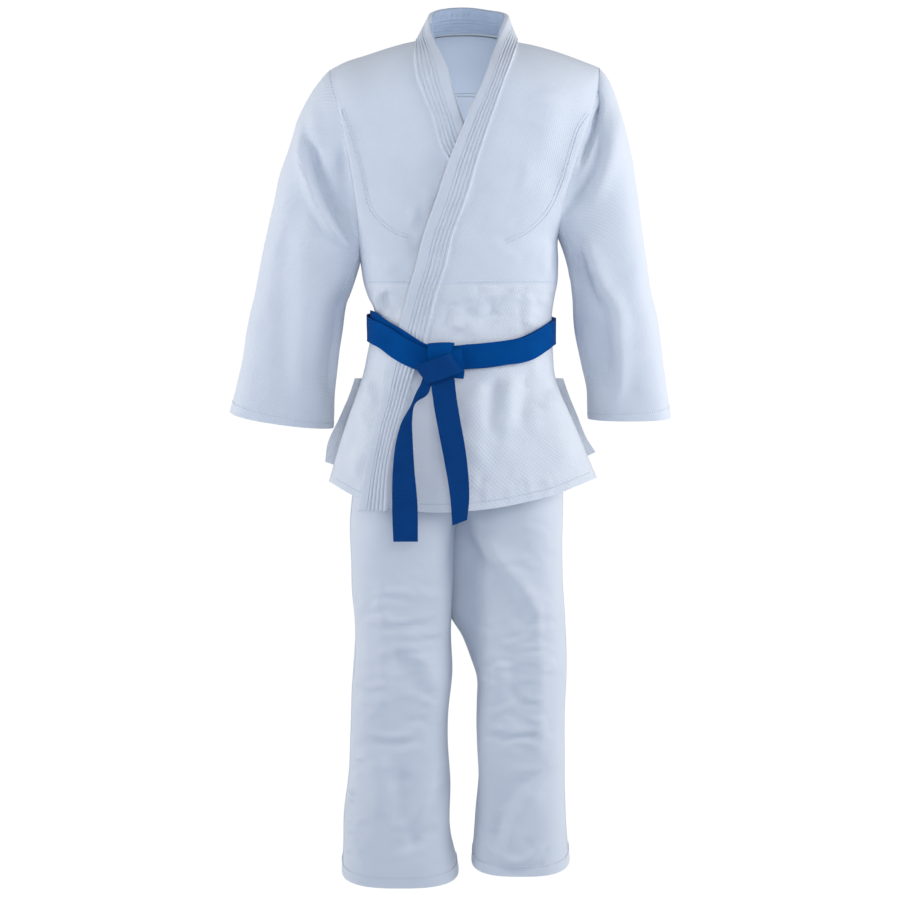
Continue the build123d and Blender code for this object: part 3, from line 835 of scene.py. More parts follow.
def whole_back(x, z):
    return trunk_depth(x, z, 1)


def ruffled(grid, wrap, height, size, seed):
    """The grid with a gentle unevenness, which fades out at its rim."""
    n = normals(grid, wrap)
    rows, cols = grid.shape[:2]
    r = np.linspace(0, 1, rows)[:, None]
    c = np.linspace(0, 1, cols)[None, :]
    rim = smooth(0, 0.12, r) * (1 - smooth(0.9, 1, r))
    if not wrap:
        rim = rim * smooth(0, 0.12, c) * (1 - smooth(0.88, 1, c))
    return grid + n * (crumple(grid, size, seed) * height * rim)[..., None]


def lining_under(name, grid, look):
    """The doubling inside a folded front panel, from its shoulder down to the yoke seam."""
    rows = grid[:, grid.shape[1] // 2, 2] > LINING_FOOT
    inner = grid[rows][:-2, 3:-3]
    inner = inner - normals(inner, False) * (JACKET_CLOTH + 0.0008)
    stand_in(cloth(name, inner, False, LINING_CLOTH, look), name)


def jacket_front(side, grid, yoke, waist_seam, look, inside):
    """A shaped front with its two rows along the yoke and one at the waist, and its lining."""
    inwards = 0.004 if side == "right" else -0.004
    inner = [(x + inwards, z + 0.004) for x, z in yoke]
    lines = [(stitched(yoke), *SEAM_LINE), (stitched(inner), *FINE_LINE)]
    lines += [(stitched(waist_seam), *SEAM_LINE)]
    name = f"jacket_front_{side}"
    stand_in(cloth(name, grid, False, JACKET_CLOTH, look, lines), name)
    lining_under(f"yoke_lining_{side}", grid, inside)


def jacket_fronts(look, inside):
    over, under = by_height(OVER_SEAM), by_height(UNDER_SEAM)
    waist = straight(SKIRT_SEAM)
    grid = panel(lambda z: lookup(over, z) - LAP, left_edge, waist, crest_front, over_front, 104, 64)
    grid = fold(ruffled(grid, False, 0.0012, 0.11, 1.0), False, LEFT_FRONT_FOLDS)
    jacket_front("left", grid, LEFT_YOKE, LEFT_WAIST_SEAM, look, inside)
    grid = panel(right_edge, lambda z: lookup(under, z) + LAP, waist, crest_front, under_front, 104, 72)
    grid = fold(ruffled(grid, False, 0.0012, 0.11, 4.0), False, RIGHT_FRONT_FOLDS)
    jacket_front("right", grid, RIGHT_YOKE, RIGHT_WAIST_SEAM, look, inside)


def jacket_back(look):
    grid = panel(left_edge, right_edge, straight(SKIRT_SEAM), crest_back, whole_back, 96, 120)
    grid = fold(ruffled(grid, False, 0.0016, 0.13, 7.0), False, BACK_FOLDS, side=1)
    stand_in(cloth("jacket_back", grid, False, JACKET_CLOTH, look), "jacket_back")


def yoke_linings(look):
    """The doubling inside the shoulders, with its stitched lower edge, and the strip below it."""
    lined = JACKET_CLOTH + LINING_CLOTH

    def behind(x, z):
        return trunk_depth(x, z + lined, 1) - lined

    back_foot = straight(BACK_LINING_FOOT)
    grid = panel(
        lambda z: left_edge(z) - 0.004, lambda z: right_edge(z) + 0.004, back_foot,
        lambda x: crest_back(x) - 0.006, behind, 40, 110,
    )
    edge = stitched([(0.1, -0.1), (0.01, -0.1), (-0.08, -0.1)])
    piece = cloth("yoke_lining_back", grid, False, LINING_CLOTH, look)
    inner = grid.copy()
    inner[..., 1] -= 0.0016
    stitches = []
    for height in (0.0035, 0.0085):
        rows, cols = locate(inner, [(x, z + height) for x, z in edge])
        points, outward = grid_line(place(inner), False, rows, cols)
        stitches.append(bead(points, -outward, 0.0018, 0.0012))
    rows_obj = build("yoke_stitching", stitches, look[1:])
    stand_in(piece, "yoke_lining_back")
    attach(rows_obj, "torso")

    strip = panel(straight(0.02), straight(-0.004), straight(-0.39), back_foot, behind, 60, 8)
    piece = cloth("back_centre_strip", strip, False, LINING_CLOTH, look)
    stand_in(piece, "back_centre_strip")


# ---- lapels and collar -------------------------------------------------------------------------
def band_front(q):
    """Height of a lapel's face across its width: free edge at 0, seam at 1."""
    body = 0.006 * np.sqrt(1 - np.clip(1 - q / 0.1, 0, 1) ** 2)
    rows = np.abs(np.sin(math.pi * (q - CHANNELS_FROM) / CHANNEL)) ** 0.6
    ridged = 0.0034 + 0.0026 * rows
    face = np.where(q < CHANNELS_FROM, body, ridged)
    return face * (1 - smooth(0.95, 1.0, q)) + 0.0004 * smooth(0.95, 1.0, q)


def trunk_line(edge, layer):
    """A drawn line on the trunk's front, with its depth, as (x, y, z)."""
    points = []
    for x, z in edge:
        points.append((x, float(trunk_depth(x, z, -1, layer)), z))
    return points


def lapel_keys(edge, seam, layer, heights):
    """Matching points on a lapel's free edge and seam at those heights."""
    e, s = by_height(edge), by_height(seam)
    free = [(float(lookup(e, z)), z) for z in heights]
    sewn = [(float(lookup(s, z)), z) for z in heights]
    return trunk_line(free, layer), trunk_line(sewn, layer)


def lapel_strip():
    """The whole band as drawn: up the left front, round the neck and down the right one."""
    left_heights = list(np.linspace(OVER_FOOT, NECK_FOOT, LAPEL_KEYS))
    right_heights = list(np.linspace(NECK_FOOT, UNDER_FOOT, LAPEL_KEYS))
    left_free, left_sewn = lapel_keys(OVER_EDGE, OVER_SEAM, 0.0, left_heights)
    right_free, right_sewn = lapel_keys(UNDER_EDGE, UNDER_SEAM, UNDER_DEPTH, right_heights)
    free = np.array(left_free + NECK_EDGE + right_free)
    sewn = np.array(left_sewn + NECK_SEAM + right_sewn)
    middle = (free + sewn) / 2
    run = np.concatenate([[0], np.cumsum(np.linalg.norm(np.diff(middle, axis=0), axis=1))])
    marks = (run[LAPEL_KEYS - 1], run[-LAPEL_KEYS])  # the collar runs between these two
    rows = int(run[-1] / 0.0045)
    t = np.linspace(0, run[-1], rows)
    edge = np.stack([lookup(list(zip(run, free[:, k])), t) for k in range(3)], axis=-1)
    seam = np.stack([lookup(list(zip(run, sewn[:, k])), t) for k in range(3)], axis=-1)
    return t, edge, seam, marks


def lapels_and_collar(look):
    t, edge, seam, (neck_start, neck_end) = lapel_strip()
    q = np.concatenate([np.linspace(0, 0.1, 6)[:-1], np.linspace(0.1, 1, 54)])
    base = edge[:, None] + (seam - edge)[:, None] * q[None, :, None]
    past_start = smooth(neck_start - 0.02, neck_start + 0.02, t)
    past_end = smooth(neck_end - 0.02, neck_end + 0.02, t)
    at_neck = past_start * (1 - past_end)
    under = t > (neck_start + neck_end) / 2
    for layer, mask in ((0.0, ~under), (UNDER_DEPTH, under)):
        on_trunk = trunk_depth(base[mask][..., 0], base[mask][..., 2], -1, layer)
        w = at_neck[mask][:, None]
        base[mask, :, 1] = w * base[mask][..., 1] + (1 - w) * on_trunk
    n = normals(base, False)
    flip = -1 if n[20, 20, 1] > 0 else 1
    n = n * flip
    wobble = crumple(base, 0.05, 2.0)
    front = band_front(q)[None, :] * (1 + 0.12 * wobble)
    gather = np.sin(t * 2 * math.pi / 0.0115 + 2.2 * np.sin(t * 31.0))[:, None]
    soft = np.exp(-(((q - 0.25) / 0.2) ** 2))[None, :]
    rows = np.abs(np.sin(math.pi * (q - CHANNELS_FROM) / CHANNEL))[None, :] ** 0.6
    stitched_part = (q > CHANNELS_FROM)[None, :]
    inside = 0.0028 + at_neck[:, None] * (0.0012 * gather * soft + 0.0014 * rows * stitched_part)
    face = base + n * front[..., None]
    back = base - n * inside[..., None]
    loop = np.concatenate([face, back[:, ::-1]], axis=1)
    pieces = (
        ("lapel_left", 0, neck_start),
        ("collar_band", neck_start, neck_end),
        ("lapel_right", neck_end, t[-1]),
    )
    for name, low, high in pieces:
        first, last = np.searchsorted(t, low), np.searchsorted(t, high)
        section = place(loop[first : last + 1])
        if flip > 0:
            section = section[:, ::-1]
        obj = build(name, [tube(section)], look[:1])
        # the inside of the collar band takes the darker drill: painted shade
        if name == "collar_band":
            paint_collar_shade(obj, look[1])
        stand_in(obj, name)


def paint_collar_shade(collar, facing):
    """Gives the faces round the inside of the collar a darker blue drill, which is painted shade."""
    # facing here is the darker drill of painted shade
    collar.data.materials.append(facing)
    for face in collar.data.polygons:
        to_neck = Vector((NECK_MIDDLE, 0.0, face.center.z)) - face.center
        if face.normal.dot(to_neck) > 0.3 * to_neck.length:
            face.material_index = 1


def tube(section):
    """A closed tube through placed rings, with its two ends closed: points, faces and UVs."""
    rows, cols = section.shape[:2]
    run_up, run_round = lengths(section, 0), lengths(section, 1)
    run_round = np.append(run_round, run_round[-1] * cols / (cols - 1))
    faces, uvs = [], []
    for i in range(rows - 1):
        for j in range(cols):
            k = (j + 1) % cols
            faces.append((i * cols + j, i * cols + k, (i + 1) * cols + k, (i + 1) * cols + j))
            uvs += [(run_up[i], run_round[j]), (run_up[i], run_round[j + 1])]
            uvs += [(run_up[i + 1], run_round[j + 1]), (run_up[i + 1], run_round[j])]
    last = (rows - 1) * cols
    half = cols // 2
    for j in range(half - 1):
        k = cols - 1 - j
        faces.append((j, k, k - 1, j + 1))
        faces.append((last + j + 1, last + k - 1, last + k, last + j))
        near, far = run_round[j], run_round[j + 1]
        uvs += [(0, near), (0.003, near), (0.003, far), (0, far)] * 2
    return section.reshape(-1, 3), faces, uvs


# ---- sleeves -----------------------------------------------------------------------------------
def level(grid):
    """Turns heights at the plane y = 0 into drawn heights, for a ring that is level in space."""
    grid = grid.copy()
    grid[..., 2] = EYE[2] + (grid[..., 2] - EYE[2]) * EYE[1] / (EYE[1] - grid[..., 1])
    return grid


def sleeve_grid(outer, inner, armhole, right):
    """Rings from the cuff up to the armhole, where the last one is the trunk's own edge."""
    s = np.linspace(0, 1, SLEEVE_ROWS)
    out, into = along(outer, 1 - s), along(inner, 1 - s)
    west, east = (out, into) if right else (into, out)
    turn = np.linspace(0, 2 * math.pi, SLEEVE_COLUMNS, endpoint=False)
    across = (1 - signed_power(np.cos(turn), SLEEVE_CURVE)) / 2
    flat = west[:, None] + (east - west)[:, None] * across[None, :, None]
    depths = list(zip(np.linspace(0, 1, len(SLEEVE_DEPTHS)), SLEEVE_DEPTHS))
    y = -lookup(depths, 1 - s)[:, None] * signed_power(np.sin(turn), SLEEVE_CURVE)[None, :]
    lean = CREST_LEAN * np.clip(np.sin(turn), 0, 1)[None, :] ** 2 * (east - west)[:, :1]
    x_leaning = flat[..., 0] + (-lean if right else lean)
    generic = level(np.stack([x_leaning, y, flat[..., 1]], axis=-1))
    down = across if right else 1 - across
    top, pit = armhole[-1][0], armhole[0][0]
    z = top + (pit - top) * down
    x = lookup(armhole, z)
    front = trunk_depth(x, z, -1)
    back = trunk_depth(x, z, 1)
    ring = np.stack([x, np.where(turn <= math.pi, front, back), z], axis=-1)
    fade = smooth(0.82, 1.0, s)[:, None, None]
    return generic * (1 - fade) + ring[None] * fade


def sleeve(side, look):
    right = side == "right"
    if right:
        grid = sleeve_grid(RIGHT_SLEEVE_OUTER, RIGHT_SLEEVE_INNER, RIGHT_ARMHOLE, True)
        folds, back_folds = RIGHT_SLEEVE_FOLDS, RIGHT_SLEEVE_BACK_FOLDS
    else:
        grid = sleeve_grid(LEFT_SLEEVE_OUTER, LEFT_SLEEVE_INNER, LEFT_ARMHOLE, False)
        folds, back_folds = LEFT_SLEEVE_FOLDS, LEFT_SLEEVE_BACK_FOLDS
    grid = ruffled(grid, True, 0.0016, 0.12, 11.0 if right else 13.0)
    grid = fold(grid, True, folds)
    grid = fold(grid, True, back_folds, side=1)
    body = cloth(f"sleeve_{side}", grid, True, JACKET_CLOTH, look)
    placed = place(grid)
    n = normals(placed, True)
    hem = placed[:CUFF_ROWS] + n[:CUFF_ROWS] * 0.0004
    cuff = build(f"cuff_hem_{side}", [skin(hem, True, 0.0012)], look)
    ring = ring_of(placed, n, CUFF_ROWS - 1, 0.0004), ring_of(n, n, CUFF_ROWS - 1, 0)
    armhole_points = np.concatenate([placed[-1], placed[-1][:1]])
    armhole_out = np.concatenate([n[-2], n[-2][:1]])
    seams = build(
        f"sleeve_seams_{side}",
        [bead(*ring, 0.0013, 0.0003), bead(armhole_points, armhole_out, 0.0026, 0.0004)],
        look[1:],
    )
    pit = placed.shape[1] // 2 if right else 0
    columns = [(pit + k) % placed.shape[1] for k in range(-9, 10)]
    gusset_grid = placed[ARMPIT][:, columns] + n[ARMPIT][:, columns] * 0.0008
    gusset = build(f"armpit_gusset_{side}", [skin(gusset_grid, False, 0.0012)], look)
    for obj in (body, cuff, seams, gusset):
        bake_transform(obj)
    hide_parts(f"sleeve_{side}")
    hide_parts(f"cuff_hem_{side}")
    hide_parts(f"armpit_gusset_{side}")


# ---- skirt -------------------------------------------------------------------------------------
def skirt(look):
    over, under = by_height(OVER_SEAM), by_height(UNDER_SEAM)
    hem = curve(FRONT_HEM)
    seam, vent = straight(SKIRT_SEAM), straight(VENT_TOP)
    left = panel(lambda z: lookup(over, z) - LAP, curve(LEFT_SIDE), hem, seam, over_front, 96, 96)
    right = panel(curve(RIGHT_SIDE), lambda z: lookup(under, z) + LAP, hem, seam, under_front, 96, 96)
    # side, grid, folds, seed, and the hem's row of stitching: its height and its two ends
    fronts = (
        ("left", left, SKIRT_LEFT_FOLDS, 17.0, 0.014, -0.1, 0.225),
        ("right", right, SKIRT_RIGHT_FOLDS, 19.0, 0.012, -0.205, 0.09),
    )
    for side, grid, folds, seed, lift, low, high in fronts:
        grid = fold(ruffled(grid, False, 0.0014, 0.09, seed), False, folds)
        line = [(x, float(hem(x)) + lift) for x in np.linspace(low, high, 80)]
        name = f"skirt_front_{side}"
        piece = cloth(name, grid, False, JACKET_CLOTH, look, [(line, *SEAM_LINE)])
        stand_in(piece, name)

    upper = panel(curve(LEFT_SIDE), curve(RIGHT_SIDE), vent, seam, whole_back, 44, 120)
    upper = ruffled(upper, False, 0.001, 0.1, 23.0)
    piece = cloth("skirt_back_yoke", upper, False, JACKET_CLOTH, look)
    stand_in(piece, "skirt_back_yoke")

    flap = panel(curve(FLAP_LEFT), curve(FLAP_RIGHT), curve(BACK_HEM), vent, flap_depth, 60, 120)
    flap = fold(ruffled(flap, False, 0.0014, 0.09, 29.0), False, FLAP_FOLDS, side=1)
    piece = cloth("skirt_back_flap", flap, False, JACKET_CLOTH, look)
    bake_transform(piece)
    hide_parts("skirt_back_flap")


def flap_depth(x, z):
    """The flap hangs from the yoke's own curve, and its sides lie flat behind the fronts."""
    west, east = lookup(FLAP_RIGHT, z), lookup(FLAP_LEFT, z)
    across = np.abs(x - (west + east) / 2) / ((east - west) / 2)
    round_part = (1 - np.clip(across / 0.9, 0, 1) ** 2.2) ** (1 / 1.7)
    hung = 0.011 + (lookup(BACK_DEPTH, z) - 0.011) * round_part
    low = smooth(0.0, 0.045, VENT_TOP - z)
    return trunk_depth(x, z, 1) * (1 - low) + hung * low


# ---- belt --------------------------------------------------------------------------------------
def belt_ring(front, west, east, grow, seed):
    """A band round the waist, whose middle follows a drawn line in front."""
    cols, rows = 150, 9
    turn = np.linspace(0, 2 * math.pi, cols, endpoint=False)
    across = (1 - signed_power(np.cos(turn), 2 / SQUARENESS)) / 2
    x = west + (east - west) * across
    z = np.where(turn <= math.pi, lookup(front, x), lookup(BELT_BACK, x))
    y = np.where(
        turn <= math.pi,
        -(lookup(FRONT_DEPTH, z) + 0.009 + grow) * np.abs(np.sin(turn)) ** (2 / SQUARENESS),
        (lookup(BACK_DEPTH, z) + 0.005 + grow) * np.abs(np.sin(turn)) ** (2 / SQUARENESS),
    )
    middle = np.stack([x, y, z], axis=-1)
    tangent = np.roll(middle, -1, axis=0) - np.roll(middle, 1, axis=0)
    tangent /= np.linalg.norm(tangent, axis=1, keepdims=True)
    up = np.array([0, 0, 1.0]) - tangent[:, 2:] * tangent
    up /= np.linalg.norm(up, axis=1, keepdims=True)
    v = np.linspace(-0.5, 0.5, rows)[:, None, None]
    grid = middle[None] + up[None] * v * BELT_WIDTH
    n = normals(grid, True)
    return grid + n * (0.0008 * crumple(grid, 0.06, seed))[..., None]


def strap(keys, cols=13):
    """A strap through (left point, right point) pairs from the bottom up, each (x, y, z) as drawn."""
    left = np.array([a for a, _ in keys])
    right = np.array([b for _, b in keys])
    run = np.linalg.norm(np.diff((left + right) / 2, axis=0), axis=1).sum()
    shares = np.linspace(0, 1, max(12, int(run / 0.004)))
    left, right = along(left, shares), along(right, shares)
    t = np.linspace(0, 1, cols)[None, :, None]
    grid = left[:, None] + (right - left)[:, None] * t
    bow = (1 - (2 * t - 1) ** 2) * 0.0012
    return grid + normals(grid, False) * bow


def belt(look, shaded_belt_look):
    """Two wraps, the knot's three straps, and two tails that bend where they leave the knot. The knot's
    front strap and the tails take a darker copy of the belt's blue, which is painted shade.
    """
    outer = belt_ring(BELT_FRONT, -0.1535, 0.1685, 0.0038, 31.0)
    inner = belt_ring(BELT_INNER, -0.148, 0.1645, 0.0, 33.0)
    for name, grid in (("belt_outer_wrap", outer), ("belt_inner_wrap", inner)):
        stand_in(cloth(name, grid, True, BELT_THICK, look), name)
    knot = (
        ("belt_knot_back", KNOT_BACK, look),
        ("belt_knot_loop", KNOT_LOOP, look),
        ("belt_knot_front", KNOT_FRONT, shaded_belt_look),
    )
    for name, keys, cotton in knot:
        stand_in(cloth(name, strap(keys, 15), False, BELT_THICK, cotton), name)
    for side, keys in (("left", TAIL_LEFT), ("right", TAIL_RIGHT)):
        tail = cloth(f"belt_tail_{side}", strap(keys), False, BELT_THICK, shaded_belt_look)
        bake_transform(tail)
        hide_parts(f"belt_tail_{side}")


# ---- trousers ----------------------------------------------------------------------------------
def leg_grid(side):
    right = side == "right"
    hem = RIGHT_HEM if right else LEFT_HEM
    z = np.linspace(hem, LEG_TOP, LEG_ROWS)
    turn = np.linspace(0, 2 * math.pi, LEG_COLUMNS, endpoint=False)
    across = ((1 - signed_power(np.cos(turn), LEG_CURVE)) / 2)[None, :]
    west = lookup(RIGHT_LEG_OUTER if right else LEFT_LEG_INNER, z)[:, None]
    east = lookup(RIGHT_LEG_INNER if right else LEFT_LEG_OUTER, z)[:, None]
    x = west + (east - west) * across
    y = -lookup(LEG_DEPTH, z)[:, None] * signed_power(np.sin(turn), LEG_CURVE)[None, :]
    if not right:
        inward = lookup(LEFT_LEG_INSIDE, z)[:, None] * smooth(-0.06, 0.02, y) * (1 - across) ** 1.5
        x = x - inward
    return level(np.stack([x, y, z[:, None] + 0 * x], axis=-1))


def leg(side, look):
    grid = leg_grid(side)
    right = side == "right"
    folds = RIGHT_LEG_FOLDS if right else LEFT_LEG_FOLDS
    grid = ruffled(grid, True, 0.0016, 0.15, 37.0 if right else 41.0)
    grid = fold(grid, True, folds)
    grid = fold(grid, True, LEG_BACK_FOLDS[side], side=1)
    sign = -1 if right else 1
    body = cloth(f"leg_{side}", grid, True, TROUSER_CLOTH, look)
    placed = place(grid)
    n = normals(placed, True)
    band = placed[: HEM_ROW + 1] + n[: HEM_ROW + 1] * 0.0007
    hem = build(f"leg_hem_{side}", [skin(band, True, 0.001)], look)
    cols = placed.shape[1]
    outer = 0 if right else cols // 2
    inner = cols // 2 if right else 0
    parts = [bead(ring_of(placed, n, HEM_ROW, 0.0008), ring_of(n, n, HEM_ROW, 0), 0.0015, 0.0007)]
    for column in (outer - 2 * sign, outer - 3 * sign, inner):
        j = column % cols
        parts.append(bead(placed[:LEG_SEAM_ROWS, j], n[:LEG_SEAM_ROWS, j], 0.0016, 0.0007))
    seams = build(f"leg_seams_{side}", parts, look[1:])
    front = range(8, cols // 2 - 8)
    knee = placed[KNEE][:, front] + n[KNEE][:, front] * 0.0002
    patch = build(f"knee_patch_{side}", [skin(knee, False, 0.001)], look)
    for obj in (body, hem, seams, patch):
        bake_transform(obj)
    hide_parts(f"leg_{side}")
    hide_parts(f"leg_hem_{side}")
    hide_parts(f"knee_patch_{side}")


def ring_of(points, outward, row, lift):
    ring = points[row] + (outward[row] * lift if lift else 0)
    return np.concatenate([ring, ring[:1]])


def seat(look):
    rows, cols = 60, 120
    z = np.linspace(-0.765, -0.478, rows)
    turn = np.linspace(0, 2 * math.pi, cols, endpoint=False)
    half = lookup(SEAT_HALF_WIDTH, z)[:, None]
    deep = lookup(SEAT_DEPTH, z)[:, None]
    x = 0.004 - half * signed_power(np.cos(turn), SEAT_CURVE)[None, :]
    y = -deep * signed_power(np.sin(turn), SEAT_CURVE)[None, :]
    grid = ruffled(level(np.stack([x, y, z[:, None] + 0 * x], axis=-1)), True, 0.0015, 0.1, 43.0)
    body = cloth("trouser_seat", grid, True, TROUSER_CLOTH, look)
    placed = place(grid)
    n = normals(placed, True)
    sewn = placed[-WAISTBAND_ROWS:] + n[-WAISTBAND_ROWS:] * 0.002
    band = build("waistband", [skin(sewn, True, 0.0015)], look)
    tape_line = bead(ring_of(placed, n, rows - 5, 0.0022), ring_of(n, n, 20, 0), 0.012, 0.0016)
    tape = build("drawstring", [tape_line], look)
    loops = []
    for j in (27, 33):
        loops.append(bead(placed[-8:-1, j] + n[-8:-1, j] * 0.004, n[-8:-1, j], 0.007, 0.0012))
    loop = build("drawstring_loops", loops, look)
    stand_in(body, "trouser_seat")
    stand_in(band, "waistband")
    stand_in(tape, "drawstring")
    stand_in(loop, "drawstring_loops")
    gusset(look)


def gusset(look):
    """The crotch piece that closes the trousers between the legs."""
    y = np.linspace(-0.1, 0.1, 30)[None, :]
    x = np.linspace(-0.05, 0.055, 16)[:, None]
    sag = 0.045 * np.exp(-((x - 0.003) / 0.03) ** 2)
    z = -0.765 - 0.03 * np.cos(y / 0.1 * 1.5) + sag * 0.2 + 0 * x
    grid = level(np.stack([x + 0 * y, y + 0 * x, z], axis=-1))[:, ::-1]
    piece = cloth("crotch_gusset", grid, False, TROUSER_CLOTH, look)
    stand_in(piece, "crotch_gusset")


# ---- folds: (drawn path, width, height, and a skew where it has one) ---------------------------
LEFT_FRONT_FOLDS = [
    ([(0.232, -0.09), (0.222, -0.14), (0.2, -0.2), (0.182, -0.25), (0.17, -0.29)], 0.01, 0.006),
    ([(0.205, -0.08), (0.19, -0.15), (0.168, -0.22), (0.15, -0.28)], 0.02, -0.005),
    ([(0.15, -0.07), (0.155, -0.12), (0.145, -0.17)], 0.022, 0.004),
    ([(0.16, -0.34), (0.15, -0.37), (0.155, -0.405)], 0.01, 0.004, 1),
    *wrinkles(5, (0.0, -0.4, 0.15, -0.2), 14, 0.07, 0.009, 0.0011, 1.2),
]
RIGHT_FRONT_FOLDS = [
    ([(-0.206, -0.09), (-0.19, -0.16), (-0.176, -0.23), (-0.163, -0.3), (-0.158, -0.35)], 0.012, 0.005),
    ([(-0.185, -0.1), (-0.168, -0.17), (-0.152, -0.24), (-0.145, -0.31)], 0.02, -0.004),
    ([(-0.15, -0.37), (-0.13, -0.385), (-0.1, -0.39)], 0.008, 0.003, 1),
    *wrinkles(6, (-0.15, -0.4, -0.04, -0.2), 12, 0.07, 0.009, 0.0011, 1.8),
]
BACK_FOLDS = [
    ([(0.19, -0.12), (0.165, -0.22), (0.15, -0.33)], 0.022, 0.007),
    ([(-0.17, -0.12), (-0.15, -0.22), (-0.14, -0.33)], 0.022, 0.007),
    ([(-0.02, -0.3), (0.0, -0.36), (0.01, -0.41)], 0.02, 0.004),
    *wrinkles(7, (-0.12, -0.4, 0.13, -0.15), 24, 0.1, 0.011, 0.0018, 1.5, 0.3),
]
RIGHT_SLEEVE_FOLDS = [
    ([(-0.236, -0.095), (-0.242, -0.15), (-0.23, -0.204), (-0.207, -0.245)], 0.01, 0.005),
    (
        [(-0.262, -0.13), (-0.264, -0.17), (-0.262, -0.204), (-0.253, -0.238), (-0.236, -0.28),
         (-0.216, -0.315), (-0.194, -0.345), (-0.168, -0.365)],
        0.0085, 0.015, 1,
    ),
    ([(-0.25, -0.15), (-0.236, -0.215), (-0.208, -0.275), (-0.182, -0.33)], 0.017, -0.014),
    ([(-0.197, -0.17), (-0.188, -0.25), (-0.174, -0.35)], 0.011, -0.012),
    ([(-0.25, -0.26), (-0.254, -0.34), (-0.258, -0.45), (-0.268, -0.63)], 0.02, 0.009, -1),
    ([(-0.186, -0.395), (-0.202, -0.46), (-0.212, -0.55), (-0.222, -0.64)], 0.022, -0.012),
    ([(-0.3, -0.27), (-0.318, -0.38), (-0.345, -0.56)], 0.022, -0.005),
    *wrinkles(8, (-0.33, -0.6, -0.22, -0.38), 8, 0.08, 0.012, 0.0008, 1.6, 0.3),
]
LEFT_SLEEVE_FOLDS = [
    ([(0.226, -0.065), (0.237, -0.105), (0.233, -0.145), (0.221, -0.18), (0.205, -0.22)], 0.0055, -0.02),
    (
        [(0.241, -0.13), (0.244, -0.175), (0.232, -0.225), (0.21, -0.258), (0.188, -0.284), (0.176, -0.31)],
        0.0075, -0.011,
    ),
    ([(0.272, -0.1), (0.268, -0.15), (0.262, -0.187), (0.244, -0.245), (0.22, -0.295)], 0.012, 0.008),
    (
        [(0.2, -0.315), (0.221, -0.34), (0.23, -0.377), (0.244, -0.416), (0.268, -0.45), (0.276, -0.52),
         (0.278, -0.586), (0.262, -0.64)],
        0.013, 0.011, -1,
    ),
    ([(0.2, -0.345), (0.216, -0.43), (0.236, -0.52), (0.244, -0.61)], 0.024, -0.013),
    *wrinkles(9, (0.28, -0.6, 0.33, -0.35), 8, 0.08, 0.012, 0.0008, 1.5, 0.3),
]
RIGHT_SLEEVE_BACK_FOLDS = [
    ([(-0.225, -0.1), (-0.215, -0.22), (-0.2, -0.33)], 0.016, -0.01),
    ([(-0.25, -0.14), (-0.245, -0.24), (-0.225, -0.33)], 0.018, 0.01),
    ([(-0.29, -0.3), (-0.31, -0.42), (-0.33, -0.58)], 0.026, -0.006),
    *wrinkles(10, (-0.33, -0.6, -0.22, -0.3), 14, 0.09, 0.011, 0.0016, 1.6, 0.4),
]
LEFT_SLEEVE_BACK_FOLDS = [
    ([(0.25, -0.1), (0.238, -0.22), (0.215, -0.31)], 0.016, -0.01),
    ([(0.272, -0.14), (0.262, -0.24), (0.245, -0.33)], 0.018, 0.01),
    ([(0.27, -0.3), (0.29, -0.42), (0.31, -0.58)], 0.026, -0.006),
    *wrinkles(11, (0.22, -0.6, 0.33, -0.3), 14, 0.09, 0.011, 0.0016, 1.5, 0.4),
]
SKIRT_LEFT_FOLDS = [
    ([(0.119, -0.42), (0.122, -0.46), (0.117, -0.5)], 0.009, 0.004),
    ([(0.03, -0.48), (0.045, -0.44), (0.085, -0.425)], 0.012, 0.006, -1),
    ([(0.0, -0.5), (0.0, -0.47), (0.012, -0.45)], 0.008, 0.004, 1),
    ([(0.122, -0.555), (0.118, -0.6), (0.103, -0.66)], 0.013, -0.005),
    ([(0.092, -0.56), (0.088, -0.62), (0.08, -0.69)], 0.013, 0.007),
    ([(0.066, -0.565), (0.06, -0.62), (0.05, -0.66)], 0.01, -0.005),
    ([(0.03, -0.57), (0.032, -0.65), (0.04, -0.74)], 0.02, 0.005),
    ([(-0.05, -0.6), (-0.045, -0.68), (-0.04, -0.76)], 0.014, -0.007),
    ([(0.15, -0.58), (0.17, -0.66), (0.19, -0.74)], 0.02, 0.005),
    *wrinkles(12, (0.02, -0.79, 0.19, -0.74), 34, 0.022, 0.0048, 0.001, 0.9, 0.8),
    *wrinkles(13, (0.0, -0.72, 0.17, -0.56), 16, 0.05, 0.009, 0.0012, 1.4, 0.4),
    *wrinkles(14, (0.0, -0.5, 0.15, -0.42), 14, 0.035, 0.008, 0.0015, 1.3, 0.5),
]
SKIRT_RIGHT_FOLDS = [
    ([(-0.15, -0.56), (-0.152, -0.66), (-0.165, -0.76)], 0.016, 0.005),
    ([(-0.1, -0.48), (-0.118, -0.45), (-0.12, -0.42)], 0.008, -0.007),
    ([(-0.13, -0.47), (-0.135, -0.44), (-0.13, -0.42)], 0.008, 0.005),
    *wrinkles(15, (-0.19, -0.77, -0.13, -0.56), 14, 0.05, 0.007, 0.0014, 1.5, 0.4),
]
FLAP_FOLDS = [
    ([(0.1, -0.6), (0.115, -0.68), (0.125, -0.74)], 0.03, 0.01),
    ([(-0.08, -0.6), (-0.1, -0.68), (-0.11, -0.74)], 0.03, 0.01),
    ([(0.01, -0.6), (0.012, -0.68), (0.01, -0.75)], 0.03, -0.008),
    *wrinkles(16, (-0.17, -0.74, 0.18, -0.6), 24, 0.06, 0.009, 0.0016, 1.5, 0.4),
]
